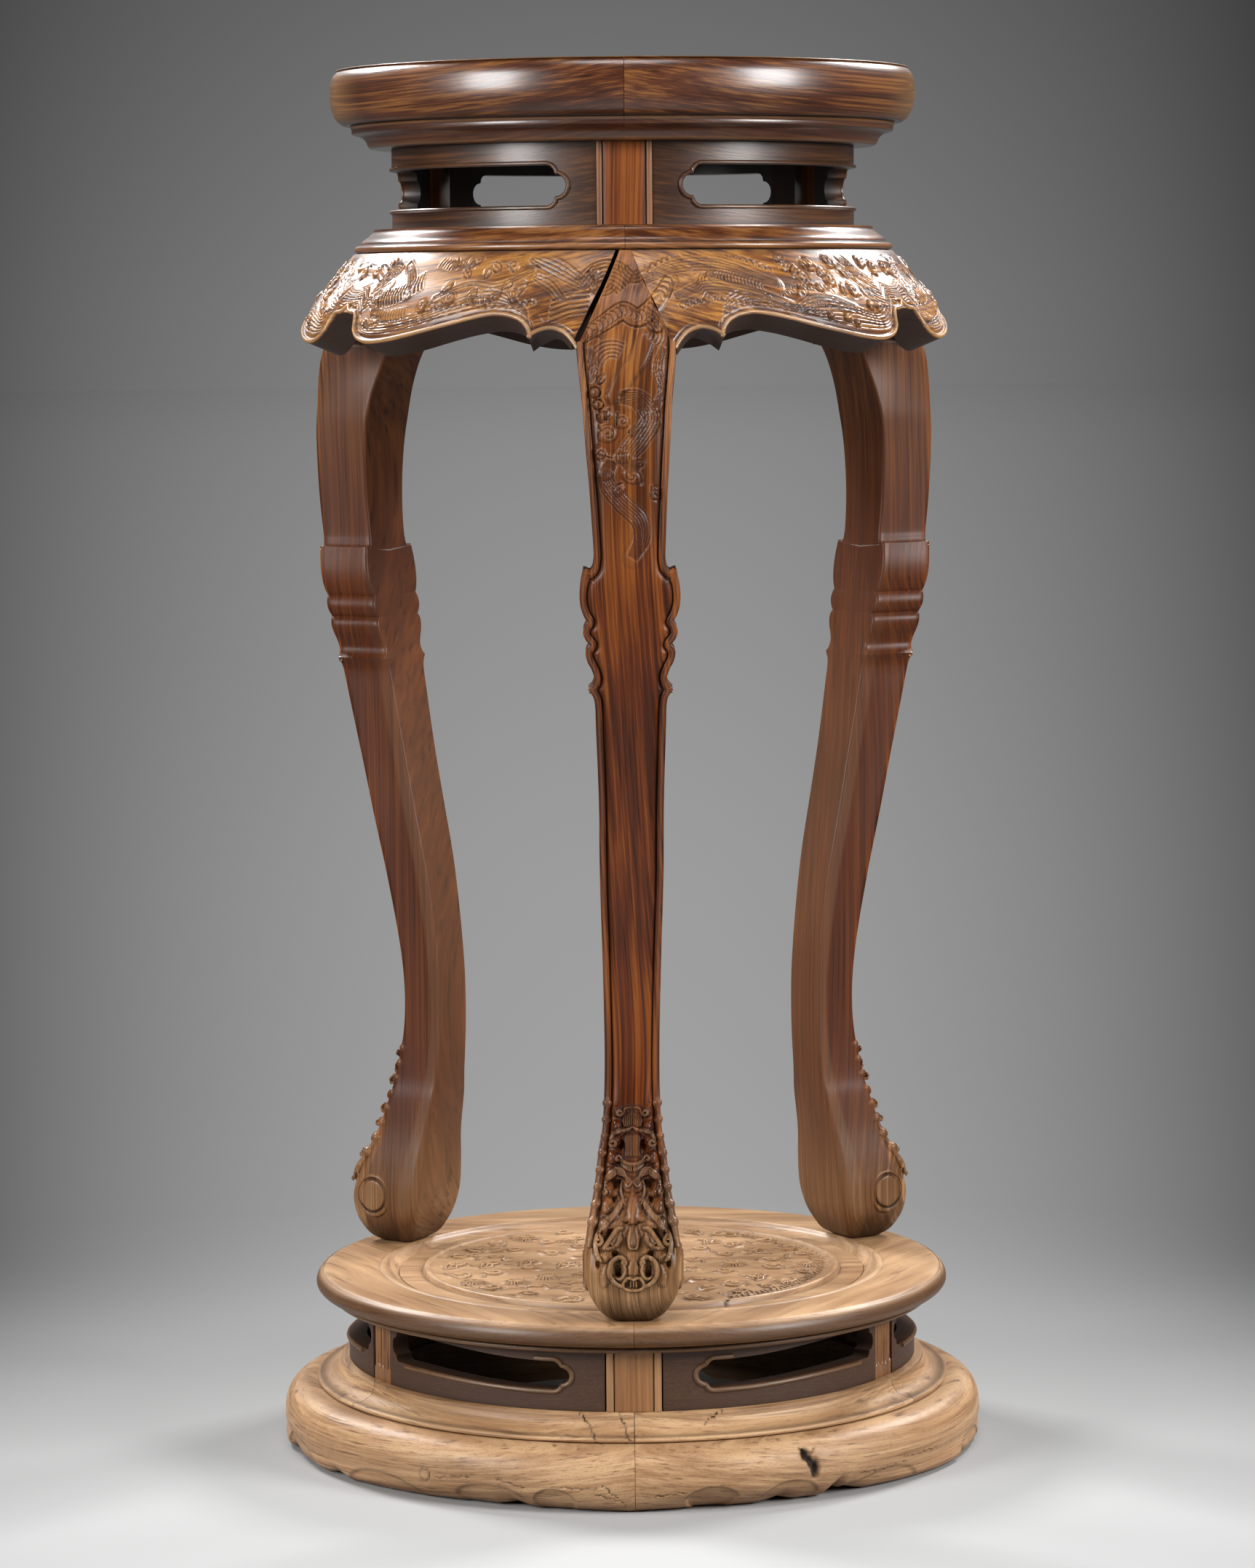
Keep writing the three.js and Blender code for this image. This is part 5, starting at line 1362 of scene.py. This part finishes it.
def makeLegs():
    finish = finishes["leg_wood"]
    lines, domes = maskMirrored()
    shaft = [legShaft(lines, domes), legBeads(finish), maskRidges(lines, domes, finish), ovalBoss(1),
             ovalBoss(-1)]
    upper = legHead()
    for k, (side, azimuth) in enumerate(legTurns.items()):
        parts = []
        for piece in shaft:
            # a slight bow to one side, as in the photo's front leg
            z = piece["points"][:, 2]
            bow = leg["bow"][side] * smoothStep(117, 480, z) * smoothStep(760, 560, z)
            parts.append(turned({**piece, "points": piece["points"] + bow[:, None] * (0, 1, 0)}, azimuth))
        parts += [turned(piece, azimuth) for piece in upper]
        makePiece(f"carved_leg_{side}", parts, finish, [f"leg_{side}"], None, 0.4 * k, 38)
    print("stage: legs")


boss = {"radius": 188, "height": 152, "halfLength": 14.2, "halfHeight": 15.8, "surface": 29.6, "lift": 4.2,
        "sunk": 1.4,
        # the groove round it: share of the way to its rim, depth, width
        "groove": (0.74, 1.5, 0.06), "rings": 22, "sides": 40}


def ovalBoss(hand):
    # the smooth oval cushion on each side of the ball foot
    share = np.concatenate([np.linspace(0, 0.6, 5), np.linspace(0.64, 1, boss["rings"] - 5)])[::-1]
    turn = np.linspace(0, math.tau, boss["sides"], endpoint=False)
    at, depth, width = boss["groove"]
    lift = boss["lift"] * (1 - share ** 5) ** 0.5 - boss["sunk"] - depth * bell(share, at, width)
    points = [np.stack([boss["radius"] + boss["halfLength"] * s * np.cos(turn),
                        hand * (boss["surface"] + h) + 0 * turn,
                        boss["height"] + boss["halfHeight"] * s * np.sin(turn)], -1) for s,
              h in zip(share, lift)]
    under = points[0] - (0, hand * 6, 0)
    dark = 0.2 - 1.1 * bell(share, at, 0.08) - bell(share, 1, 0.05)
    shade = np.repeat(np.array([-0.8, *dark[:-1]])[:, None], boss["sides"], 1)
    return loft(np.array([under, *points[:-1]]), shade, 0.3)


# radii and heights of the body behind the aprons, the neck above it and the post in the waist; half
# angles in degrees
head = {"low": 741, "rows": 84, "across": 81, "gap": 0.2, "thickness": 22,
        "bodyHeights": [745, 752, 758.8, 770.5, 782, 799.4],
        "bodyInner": [(745, 165), (752, 158.5), (782, 135), (799.4, 127)], "bodyInset": 18.5, "half": 6.62,
        "neck": (127, 149.4), "neckHeights": (797, 818), "post": (127, 155), "postHeights": (815.8, 868.2),
        "postBead": 3.6}


def legHead():
    # shoulder between the mitres, body behind the aprons, neck and the beaded post in the waist
    top, low, high = apron["top"], apron["mitreLow"], apron["mitreTop"]
    heights = np.linspace(head["low"], top, head["rows"])
    mitre = high + (top - heights) * (low - high) / (top - edgeRuns[0][0][1])
    outer = curveAt(shoulderProfile, heights)
    angle = mitre - np.degrees(head["gap"] / outer)
    across = np.linspace(-1, 1, head["across"])
    spread = angle[:, None] * across
    level = np.repeat(heights[:, None], head["across"], 1)
    ground, shade = engraved(spread * apron["perDegree"], level, *carvingPattern())
    faded = smoothStep(1, 6, top - level) * smoothStep(0, 1.2, (1 - np.abs(across)) * angle[:, None] * 3.6)
    front = apronSurface(spread, level, ground * faded)
    back = np.stack([polar(outer - head["thickness"], angle * hand, heights) for hand in (1, -1)], 1)
    shoulder = loft(np.concatenate([front, back], 1), np.concatenate([shade * faded, 0 * back[..., 0]], 1))
    z = np.array(head["bodyHeights"])
    inner, face = linesAt(head["bodyInner"], z), curveAt(shoulderProfile, z) - head["bodyInset"]
    slant = math.sin(math.radians(head["half"]))
    corners = ((inner, -1), (face, -1), (face, 1), (inner, 1))
    # the body behind the aprons is darkened and given the patina tone as painted shade
    body = loft(np.stack([np.stack([r, hand * r * slant, z], -1) for r, hand in corners], 1), -0.3, 0.8)
    near, far = head["neck"]
    radii, turns = np.array([near, far, far, far, near]), np.array([-6.6, -6.6, 0, 6.6, 6.6])
    neck = loft(np.array([polar(radii, turns, z) for z in head["neckHeights"]]), 0, 0.5)
    return [shoulder, body, neck, beadedPost(*head["post"], head["half"], *head["postHeights"],
            head["postBead"])]


def beadedPost(innerRadius, outerRadius, halfAngle, low, high, bead, fieldCrown=1.2):
    # an upright with a round bead on each edge of its face and a swelling field between two grooves
    arc = math.radians(outerRadius)
    halfWidth = halfAngle * arc
    t = np.linspace(0, math.pi, 11)
    beadArc = [(-halfWidth + bead / 2 - bead / 2 * math.cos(a), 1.2 * math.sin(a) - 1.2) for a in t]
    field = np.linspace(-halfWidth + bead + 0.9, halfWidth - bead - 0.9, 25)
    fieldArc = [(f, fieldCrown * (1 - (f / field[-1]) ** 2) ** 0.6 - 1.0) for f in field]
    face = beadArc + [(-halfWidth + bead + 0.35, -2.6)] + fieldArc + [(halfWidth - bead - 0.35, -2.6)]
    face += [(-w, h) for w, h in beadArc[::-1]]
    # painted highlight and wear on the beads, painted shade in the grooves and on the inner faces
    shade = np.array([0.55 - 0.3 * (abs(h + 1.2) < 0.1) for w,
                      h in beadArc] + [-1.0] + [0.0] * len(fieldArc) + [-1.0]
                     + [0.55] * len(beadArc) + [-1.2, -1.2])
    shade[len(beadArc) + 1] = shade[len(beadArc) + len(fieldArc)] = -0.5
    points = [polar(outerRadius + h, w / arc, 0.0) for w, h in face]
    points += [polar(innerRadius, halfAngle, 0.0), polar(innerRadius, -halfAngle, 0.0)]
    outline = np.array(points)
    sections = np.array([outline + (0, 0, z) for z in np.linspace(low, high, 6)])
    return loft(sections, np.repeat(shade[None], 6, 0), 0.2)


# Base: rim, panel with its carved roundel, waist, moulding ring and plinth

def baseRimProfile():
    return [(158, 97.4), (199.6, 97.4), *ellipseArc(200.4, 99.3, 2.4, 1.9, -80, 80, 8), (200.4, 101.4),
            *ellipseArc(202, 108.6, 11.6, 6.8, -92, 0, 10), *ellipseArc(205.8, 108.6, 7.8, 8.2, 8, 62, 9),
            (209.3, 115.5), (208.8, 115.9), (208, 116.5), (206, 116.9), (203, 117), (176, 117), (172, 116.9),
            (170.8, 116.6), (170, 117), (168.8, 117.5), (167.4, 117.4), (166.4, 116.7), (165.7, 115.5),
            (164, 114.3), (161.6, 113.4), (159.6, 112.8), (158, 112.5)]


def makeBaseRim():
    finish = finishes["base_wood"]
    for k, (side, azimuth) in enumerate(thirdTurns.items()):
        rim = ringPart(baseRimProfile(), azimuth + 0.04, 119.92, 300, finish)
        # painted shade in the creases and the groove by the recess, painted highlight and wear on the small
        # bead, the darker patina band on the nose, and the tone under the rim as painted shade
        tonedRing(rim, lambda r, a, z: (-0.35 * bell(r, 209.3, 0.4) * (z > 115)
                                        - 0.7 * bell(z, 101.4, 0.5) + 0.3 * bell(r, 168.6, 1.1) * (z > 116)
                                        - 0.3 * bell(r, 170.8, 0.6) * (z > 115)
                                        - 0.25 * bell(r, 158.4, 0.6) * (z > 105),
                                        0.85 * smoothStep(206.5, 211, r) * smoothStep(117.4, 112, z)
                                        + 0.8 * (z < 103)))
        makePiece(f"rounded_rim_{side}", [rim], finish, [f"base_rim_{side}"], azimuth + 150,
                  0.22 + 0.4 * k)
    print("stage: base rim")


# rings of curls: radius, size and count; border: hatching at the right
roundel = {"rings": [(120, 9, 26), (96, 8.5, 21), (70, 8, 15), (44, 7.5, 9), (18, 7, 4)],
           "border": {"count": 64, "from": -60, "step": 1.9, "inner": 124, "outer": 134, "lean": 0.03},
           "radius": 136, "edge": 157.6, "ground": 115.2, "ringCount": 148, "sides": 480,
           "borderRings": [137, 138, 139, 139.8, 140.4, 140.8, 141, 141.3, 141.8, 142.6, 144, 150, 157.6],
           # radius and height of the raised border and the step down to the rim
           "profile": [(0, 115.2), (135.4, 115.2), (136.6, 115.4), (137.4, 116.3), (138.9, 116.6),
                       (140.2, 116.2), (140.9, 115.2), (141.4, 113.1), (142, 112.5), (143.4, 113), (158, 113)],
           "crack": {"azimuth": -64, "inner": 112, "outer": 156, "width": 0.7, "depth": 2.4}}


def roundelCarving():
    # clouds as curls, some with a feathered fan or a leaf, in rings; hatched waves at the right
    lines, domes = [], []
    chance = np.random.default_rng(11)
    for ring, (radius, size, count) in enumerate(roundel["rings"]):
        for k in range(count):
            angle = 360 * (k + 0.5 * (ring % 2)) / count + chance.uniform(-3, 3)
            u, v = radius * math.cos(math.radians(angle)), radius * math.sin(math.radians(angle))
            hand = 1 if (k + ring) % 2 else -1
            start = chance.uniform(0, 360)
            domes.append((u, v, size * 1.1, size * 0.8, angle, 1.3, 3))
            tail = (size * 1.6 * math.cos(start), size * 1.6 * math.sin(start))
            lines.append(curl(u, v, size * 0.8, start, 1.3, hand, tail, 0.8, 18))
            if k % 3 == 0:
                lines += fan(u, v, size * 1.25, angle + 90 * hand, 120, 8, 0.45)
            if k % 3 == 1:
                lines += leaf(u, v, size * 1.7, angle + 70 * hand, 0.25, 0.6)
    border = roundel["border"]
    for k in range(border["count"]):
        angle = math.radians(border["from"] + border["step"] * k)
        ends = ((border["inner"], angle + border["lean"]), (border["outer"], angle))
        lines.append((np.array([(r * math.cos(a), r * math.sin(a)) for r, a in ends]), 0.5))
    return [(dense(points, 1.2) if len(points) < 4 else points, width) for points, width in lines], domes


def roundelBoard(lines, domes):
    rings = np.append(np.linspace(2, roundel["radius"], roundel["ringCount"]), roundel["borderRings"])
    turns = np.linspace(0, 360, roundel["sides"], endpoint=False)
    radius, angle = np.meshgrid(rings, turns, indexing="ij")
    flat = polar(radius, angle, 0.0)
    ground, shade = carvedGround(flat[..., 0], flat[..., 1], lines, domes)
    inside = smoothStep(roundel["radius"], roundel["radius"] - 4, radius)
    z = linesAt(roundel["profile"], radius) + inside * ground * 0.9
    # painted shade in the carving, in the groove round the border and under the edge; the crack below is dark
    # of itself
    hollow = shade * inside - 0.5 * bell(radius, 141.8, 0.6) - 0.2 * bell(radius, 136.2, 0.6)
    # a winding crack across the border
    crack = roundel["crack"]
    off = angle - 360 - (crack["azimuth"] + 0.16 * (139 - radius) + 2.2 * np.sin(radius / 9))
    deep = bell(off * np.radians(radius), 0,
                crack["width"]) * (radius > crack["inner"]) * (radius < crack["outer"])
    hollow = np.where(deep > 0.2, -1.2, hollow)
    under = [polar(roundel["edge"], turns, height)[None] for height in (112.0, 101.0)]
    sections = np.concatenate([polar(radius, angle, z - crack["depth"] * deep), *under])
    return loft(sections, np.concatenate([hollow, np.full((2, roundel["sides"]), -0.3)]), 0.1)


def makeBasePanel():
    finish = finishes["base_wood"]
    lines, domes = roundelCarving()
    ridges = []
    for points, width in lines:
        keep = np.hypot(points[:, 0], points[:, 1]) < roundel["radius"] - 3.5
        if keep.sum() < 2:
            continue
        u, v = points[keep].T
        lift = np.maximum(domeHeights(u, v, domes), -0.3) * 0.9 - 0.1
        ridges.append((np.stack([u, v, roundel["ground"] + lift], -1), (np.zeros(len(keep)) + width)[keep],
                       False))
    parts = [roundelBoard(lines, domes), beads(ridges, finish, 5, 0.3, 0.1)]
    makePiece("carved_roundel", parts, finish, ["base_panel"], 0, 1.3, 40)
    print("stage: base panel")


baseBoard = {"radius": 192, "thickness": 12, "from": 5.6, "to": 56.4, "low": 57.6, "high": 97, "rows": 7,
             "bead": 1.6}
baseSlot = {"from": 12.4, "to": 55.4, "low": 71, "high": 89.5, "startLength": 3.4, "endLength": 2.2,
            # how far the lower and the upper edge have risen at the strut, and between which azimuths
            "lowRise": 3.5, "highRise": 5.6, "riseFrom": 18, "riseTo": 50}


def raiseSlot(points):
    # the slots grow taller and climb towards the struts
    share = smoothStep(baseSlot["riseFrom"], baseSlot["riseTo"], cylindrical(points)[1])
    levels = [baseBoard["low"], baseSlot["low"], baseSlot["high"], baseBoard["high"]]
    points[:, 2] += share * np.interp(points[:, 2], levels, [0, baseSlot["lowRise"], baseSlot["highRise"], 0])
    return points


def makeBaseWaist():
    finish = finishes["base_wood"]
    board = slottedBoard(baseBoard, baseSlot)
    # the bead runs round the post end and along the lower edge up to the strut
    line = slotLine(baseBoard, baseSlot, baseBoard["bead"] * 0.9, 0.2)
    angle = cylindrical(line)[1]
    start = np.argmin(np.abs(angle - 19) + 1e3 * (line[:, 2] < 80))
    order = np.roll(np.arange(len(line)), -start)
    if angle[order[4]] > angle[order[0]]:
        order = np.roll(order[::-1], 1)
    kept = raiseSlot(line[order][:np.argmax(angle[order] > 51)])
    z = raiseSlot(board["points"])[:, 2]
    bead = beads([(kept, baseBoard["bead"], False)], finish, 10, 0.05, 0.8)
    # the boards are darkened all over, and more near their top and lower edges as painted shade under the rim
    # and over the moulding
    nearEnds = 0.4 * np.exp(-(z - baseBoard["low"]) / 2) + 0.5 * np.exp(-(baseBoard["high"] - z) / 3)
    board["hollow"] -= 0.45 + nearEnds
    board["tone"][:] = 0.95
    flipped = [{**piece, "points": piece["points"] * (1, -1, 1)} for piece in (board, bead)]
    for k, (side, azimuth) in enumerate(sixthTurns.items()):
        pieces, turn = ((board, bead), azimuth) if k % 2 == 0 else (flipped, azimuth + 60)
        parts = [turned(piece, turn) for piece in pieces]
        makePiece(f"slotted_base_{side}", parts, finish, [f"base_board_{side}"], azimuth + 120,
                  0.1 + 0.27 * k)
    makePosts()
    makeStruts()
    print("stage: base waist")


def makePosts():
    post = beadedPost(167, 193.5, 5.3, baseBoard["low"], baseBoard["high"], 4.6, 0.9)
    for k, (side, azimuth) in enumerate(legTurns.items()):
        makePiece(f"beaded_base_post_{side}", [turned(post, azimuth)], finishes["post_wood"],
                  [f"base_post_{side}"], None, 0.7 + 0.3 * k)


# a split block that the slots end at: half angle, radii, heights, azimuths of its deep clefts, height
# of the ragged foot
strut = {"half": 3.45, "face": 190.5, "back": 178.5, "low": 57.7, "high": 96.9,
         "clefts": (-2.2, -0.9, 0.6, 1.9), "foot": 66.5, "columns": 70, "rows": 60}


def makeStruts():
    half = strut["half"]
    heights = np.linspace(strut["low"], strut["high"], strut["rows"])
    grid, z = np.meshgrid(np.linspace(-half, half, strut["columns"]), heights)
    furrow = ripple(grid * 7, z * 0.06, 5, 2) + 0.8 * ripple(grid * 19, z * 0.1, 8, 2)
    cleft = sum(bell(grid - at, 0.05 * np.sin(z / 7 + at), 0.09) for at in strut["clefts"])
    ragged = strut["foot"] + 1.5 * ripple(grid * 4, 0 * z, 3, 2)
    below = smoothStep(ragged + 0.8, ragged - 0.8, z)
    edge = smoothStep(half, 3.1, np.abs(grid))
    radius = strut["face"] + (0.5 * furrow - 1.5 * cleft) * (1 - below) * edge + 0.9 * below
    back = np.stack([polar(strut["back"], hand * half, heights) for hand in (1, -1)], 1)
    shade = np.concatenate([np.clip(-0.9 * cleft + 0.15 * furrow, -1, 0.5) * (1 - below), 0 * back[..., 0]], 1)
    block = loft(np.concatenate([polar(radius, grid, z), back], 1), shade, 0.45)
    for k, (side, azimuth) in enumerate(thirdTurns.items()):
        makePiece(f"rough_strut_{side}", [turned(block, azimuth + 60)], finishes["post_wood"],
                  [f"base_strut_{side}"], None, 0.3 * k)


def mouldingProfile():
    return [(172, 41.8), (211.2, 41.8), *ellipseArc(211.9, 43.6, 2.1, 1.8, -80, 80, 8), (211.6, 45.5),
            *ellipseArc(211.2, 54.8, 13.6, 9.4, -88, -176, 14), (197.5, 55), (197.2, 56.8), (196.3, 57.3),
            (172, 57.3)]


# cracks: azimuth from the front leg and height at both ends, half width in mm
ringWear = {"cracks": [(-10.3, 57.3, -6.3, 41.8, 0.5), (-2.8, 57.3, -0.9, 43, 0.5),
                       (16.8, 57.3, 13.0, 50, 0.4)]}


def fromFront(angle):
    # azimuth counted from the front leg
    return (angle + 90 + 180) % 360 - 180


def crackShade(angle, z, cracks, radius):
    # how deep in a crack each point is; a crack runs from one azimuth and height to another
    perDegree = math.radians(radius)
    depth = 0 * angle
    for fromAngle, fromZ, toAngle, toZ, width in cracks:
        length = math.hypot((toAngle - fromAngle) * perDegree, toZ - fromZ)
        du, dz = (angle - fromAngle) * perDegree, z - fromZ
        ax, az = (toAngle - fromAngle) * perDegree / length, (toZ - fromZ) / length
        t = np.clip(du * ax + dz * az, 0, length)
        wiggle = 0.5 * np.sin(t * 0.9 + fromAngle) + 0.3 * np.sin(t * 2.3)
        away = np.hypot(du - t * ax - wiggle * az, dz - t * az + wiggle * ax)
        depth = np.maximum(depth, bell(away, 0, width))
    return depth


def makeBaseMoulding():
    finish = finishes["weathered_wood"]
    for k, (side, azimuth) in enumerate(sixthTurns.items()):
        ring = ringPart(mouldingProfile(), azimuth + 0.07, 59.86, 240, finish)
        radius, angle, z = cylindrical(ring["points"])
        crack = crackShade(fromFront(angle), z, ringWear["cracks"], 205) * (radius > 190)
        # painted highlight on the lip, painted shade in the creases; the cracks are dark of themselves
        ring["hollow"] = (-0.8 * crack + 0.15 * bell(z, 43.6, 1.2) * (radius > 211) - 0.5 * bell(z, 45.4, 0.4)
                          - 0.4 * bell(z, 55.3, 0.5))
        ring["points"][:, :2] *= (1 - 1.6 * crack / radius)[:, None]
        ring["tone"] = 0.05 + 0 * radius
        makePiece(f"hollow_moulding_{side}", [ring], finish, [f"base_moulding_{side}"],
                  azimuth + 120, 0.35 * k)
    print("stage: base moulding")


plinth = {"steps": 480, "radius": 231,
          # arches in the lower edge: azimuth from the front, half width in degrees, height
          "notches": [(-20, 3.5, 3), (-57, 4, 4), (24.5, 3, 3), (34.8, 2.4, 9), (37, 4.5, 4.5), (69, 3, 4),
                      (-76, 5, 6), (105, 5, 8), (144, 5, 8), (164, 5, 8), (-141, 5, 8), (-120, 5, 7),
                      (-96, 5, 8)],
          # radius of the worn lower edge against the azimuth
          "foot": [(-180, 218), (-110, 220), (-80, 226), (-73, 224), (-53, 223.5), (-28, 214), (-12, 216),
                   (-4, 218.6), (-1, 220), (10, 214), (16, 214), (30, 216), (51, 223.5), (63, 227), (80, 226),
                   (110, 220), (180, 218)]}
# crescents left from the old carved edge, cracks, and a hole; azimuth from the front, height
plinthWear = {
    "cracks": [(-33, 17, -26, 21, 0.35), (-22, 20, -17.5, 16, 0.35), (-5, 20, -1.5, 6, 0.3),
               (27.2, 36, 29.4, 17, 0.9), (29.6, 35, 28.4, 28, 0.6), (48, 18, 58, 17, 0.35),
               (38, 13, 49, 15, 0.3), (-12, 18, -6, 17, 0.3), (3, 12, 8, 14, 0.3), (-6.5, 14, -3, 10, 0.3)],
    "holes": [(27.9, 31.5, 0.75, 3.4, 4), (29.5, 22.5, 0.7, 5.4, 5), (28.6, 27, 0.5, 2.5, 3)],
    "rings": [(-35, 18, 3.6, 4.2)],
    "crescents": [(-12.9, 11, 3.4, 10, 1.6), (12.3, 12, 4.2, 9.5, 3.0), (-24, 10, 6, 12, 1.2),
                  (25.7, 9.5, 5, 12, 1.4), (45, 7, 7, 12, 1.0), (-45, 7, 8, 13, 1.0), (74, 9, 7, 11, 1.5),
                  (-72, 9, 7, 11, 1.5)],
    "patch": (-49, 32, 9.5, 5.4)}


def plinthProfile():
    lower = [(168, 0), (207, 0), (213, 0)]
    face = ellipseArc(217, 20, 18.8, 20, -78, 0, 34) + squareArc(214.5, 20, 21.3, 21.4, 2, 90, 34)
    return lower + face + [(206, 41.5), (168, 41.5)]


def plinthWearAt(angle, z):
    # how far the worn face stands out of the plain one, and its shade
    foot = (linesAt(plinth["foot"], angle) - 218) * smoothStep(15, 0, z)
    out = 0.35 * ripple(angle * 0.9, z * 0.12, 21, 3) + foot
    shade = 0 * z
    for at, low, width, height, depth in plinthWear["crescents"]:
        d = np.hypot((angle - at) / width, (z - low + height * 0.45) / height)
        inside = smoothStep(1.02, 0.9, d) * smoothStep(low + height, low - 2, z)
        out = out - depth * inside * (0.5 + 0.5 * smoothStep(-1, 1, (angle - at) / width * -0.6 + 0.3))
        shade -= 0.5 * bell(d, 1.0, 0.07) * (z > low - height * 0.3)
    crack = crackShade(angle, z, plinthWear["cracks"], plinth["radius"])
    for at, height, ru, rv in plinthWear["rings"]:
        d = np.hypot((angle - at) * 3.98 / ru, (z - height) / rv)
        crack = np.maximum(crack, bell((d - 1) * ru, 0, 0.6) * (0.7 + 0.3 * np.sin(angle * 9)))
    at, height, ru, rv = plinthWear["patch"]
    shade += 0.7 * bell(np.abs(angle - at) / ru + ((z - height) / rv) ** 2 * 0.9, 1, 0.08)
    for at, height, halfWidth, halfHeight, depth in plinthWear["holes"]:
        d = ((angle - at) / halfWidth) ** 2 + ((z - height) / halfHeight) ** 2
        out = out - depth * np.exp(-d) + 0.5 * bell(d, 2.4, 0.7)
        shade -= 1.3 * bell(d, 0, 1.2)
    return out - 1.2 * crack, shade - 0.75 * crack


def makePlinth():
    finish = finishes["weathered_wood"]
    for k, (side, azimuth) in enumerate(thirdTurns.items()):
        ring = ringPart(plinthProfile(), azimuth + 0.04, 119.92, plinth["steps"], finish)
        points = ring["points"]
        radius, angle, z = cylindrical(points.copy())
        angle = fromFront(angle)
        out, shade = plinthWearAt(angle, z)
        # painted shade along the top edge, under the moulding's lip
        shade -= 0.6 * np.exp(-np.clip(radius - 212.6, 0, 9) / 0.7) * (z > 40) * (radius > 205)
        face = smoothStep(205, 211, radius)
        points[:, :2] *= (1 + out * face / radius)[:, None]
        rise = np.max([height * np.clip(1 - np.abs(angle - at) / width, 0, 1) ** 1.2
                       for at, width, height in plinth["notches"]], 0)
        points[:, 2] += rise * np.clip(1 - z / 20, 0, 1)
        ring["hollow"] = shade * face
        ring["tone"] = 0.35 * smoothStep(14, 0, z) + 0.1
        makePiece(f"weathered_plinth_{side}", [ring], finish, [f"plinth_{side}"],
                  azimuth + 150, 0.5 + 0.4 * k, 50)
    print("stage: plinth")


def dressBattens():
    # the two battens out of sight keep their solids and get plain planed wood
    for name in ("top_batten", "base_batten"):
        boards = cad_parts[name].data
        boards.materials.clear()
        boards.materials.append(finishes["hidden_wood"])
    print("stage: battens")


addCamera()
addStudio()
makeFinishes()
makeTop()
makeCollars()
makeWaist()
makeAprons()
makeLegs()
makeBaseRim()
makeBasePanel()
makeBaseWaist()
makeBaseMoulding()
makePlinth()
dressBattens()
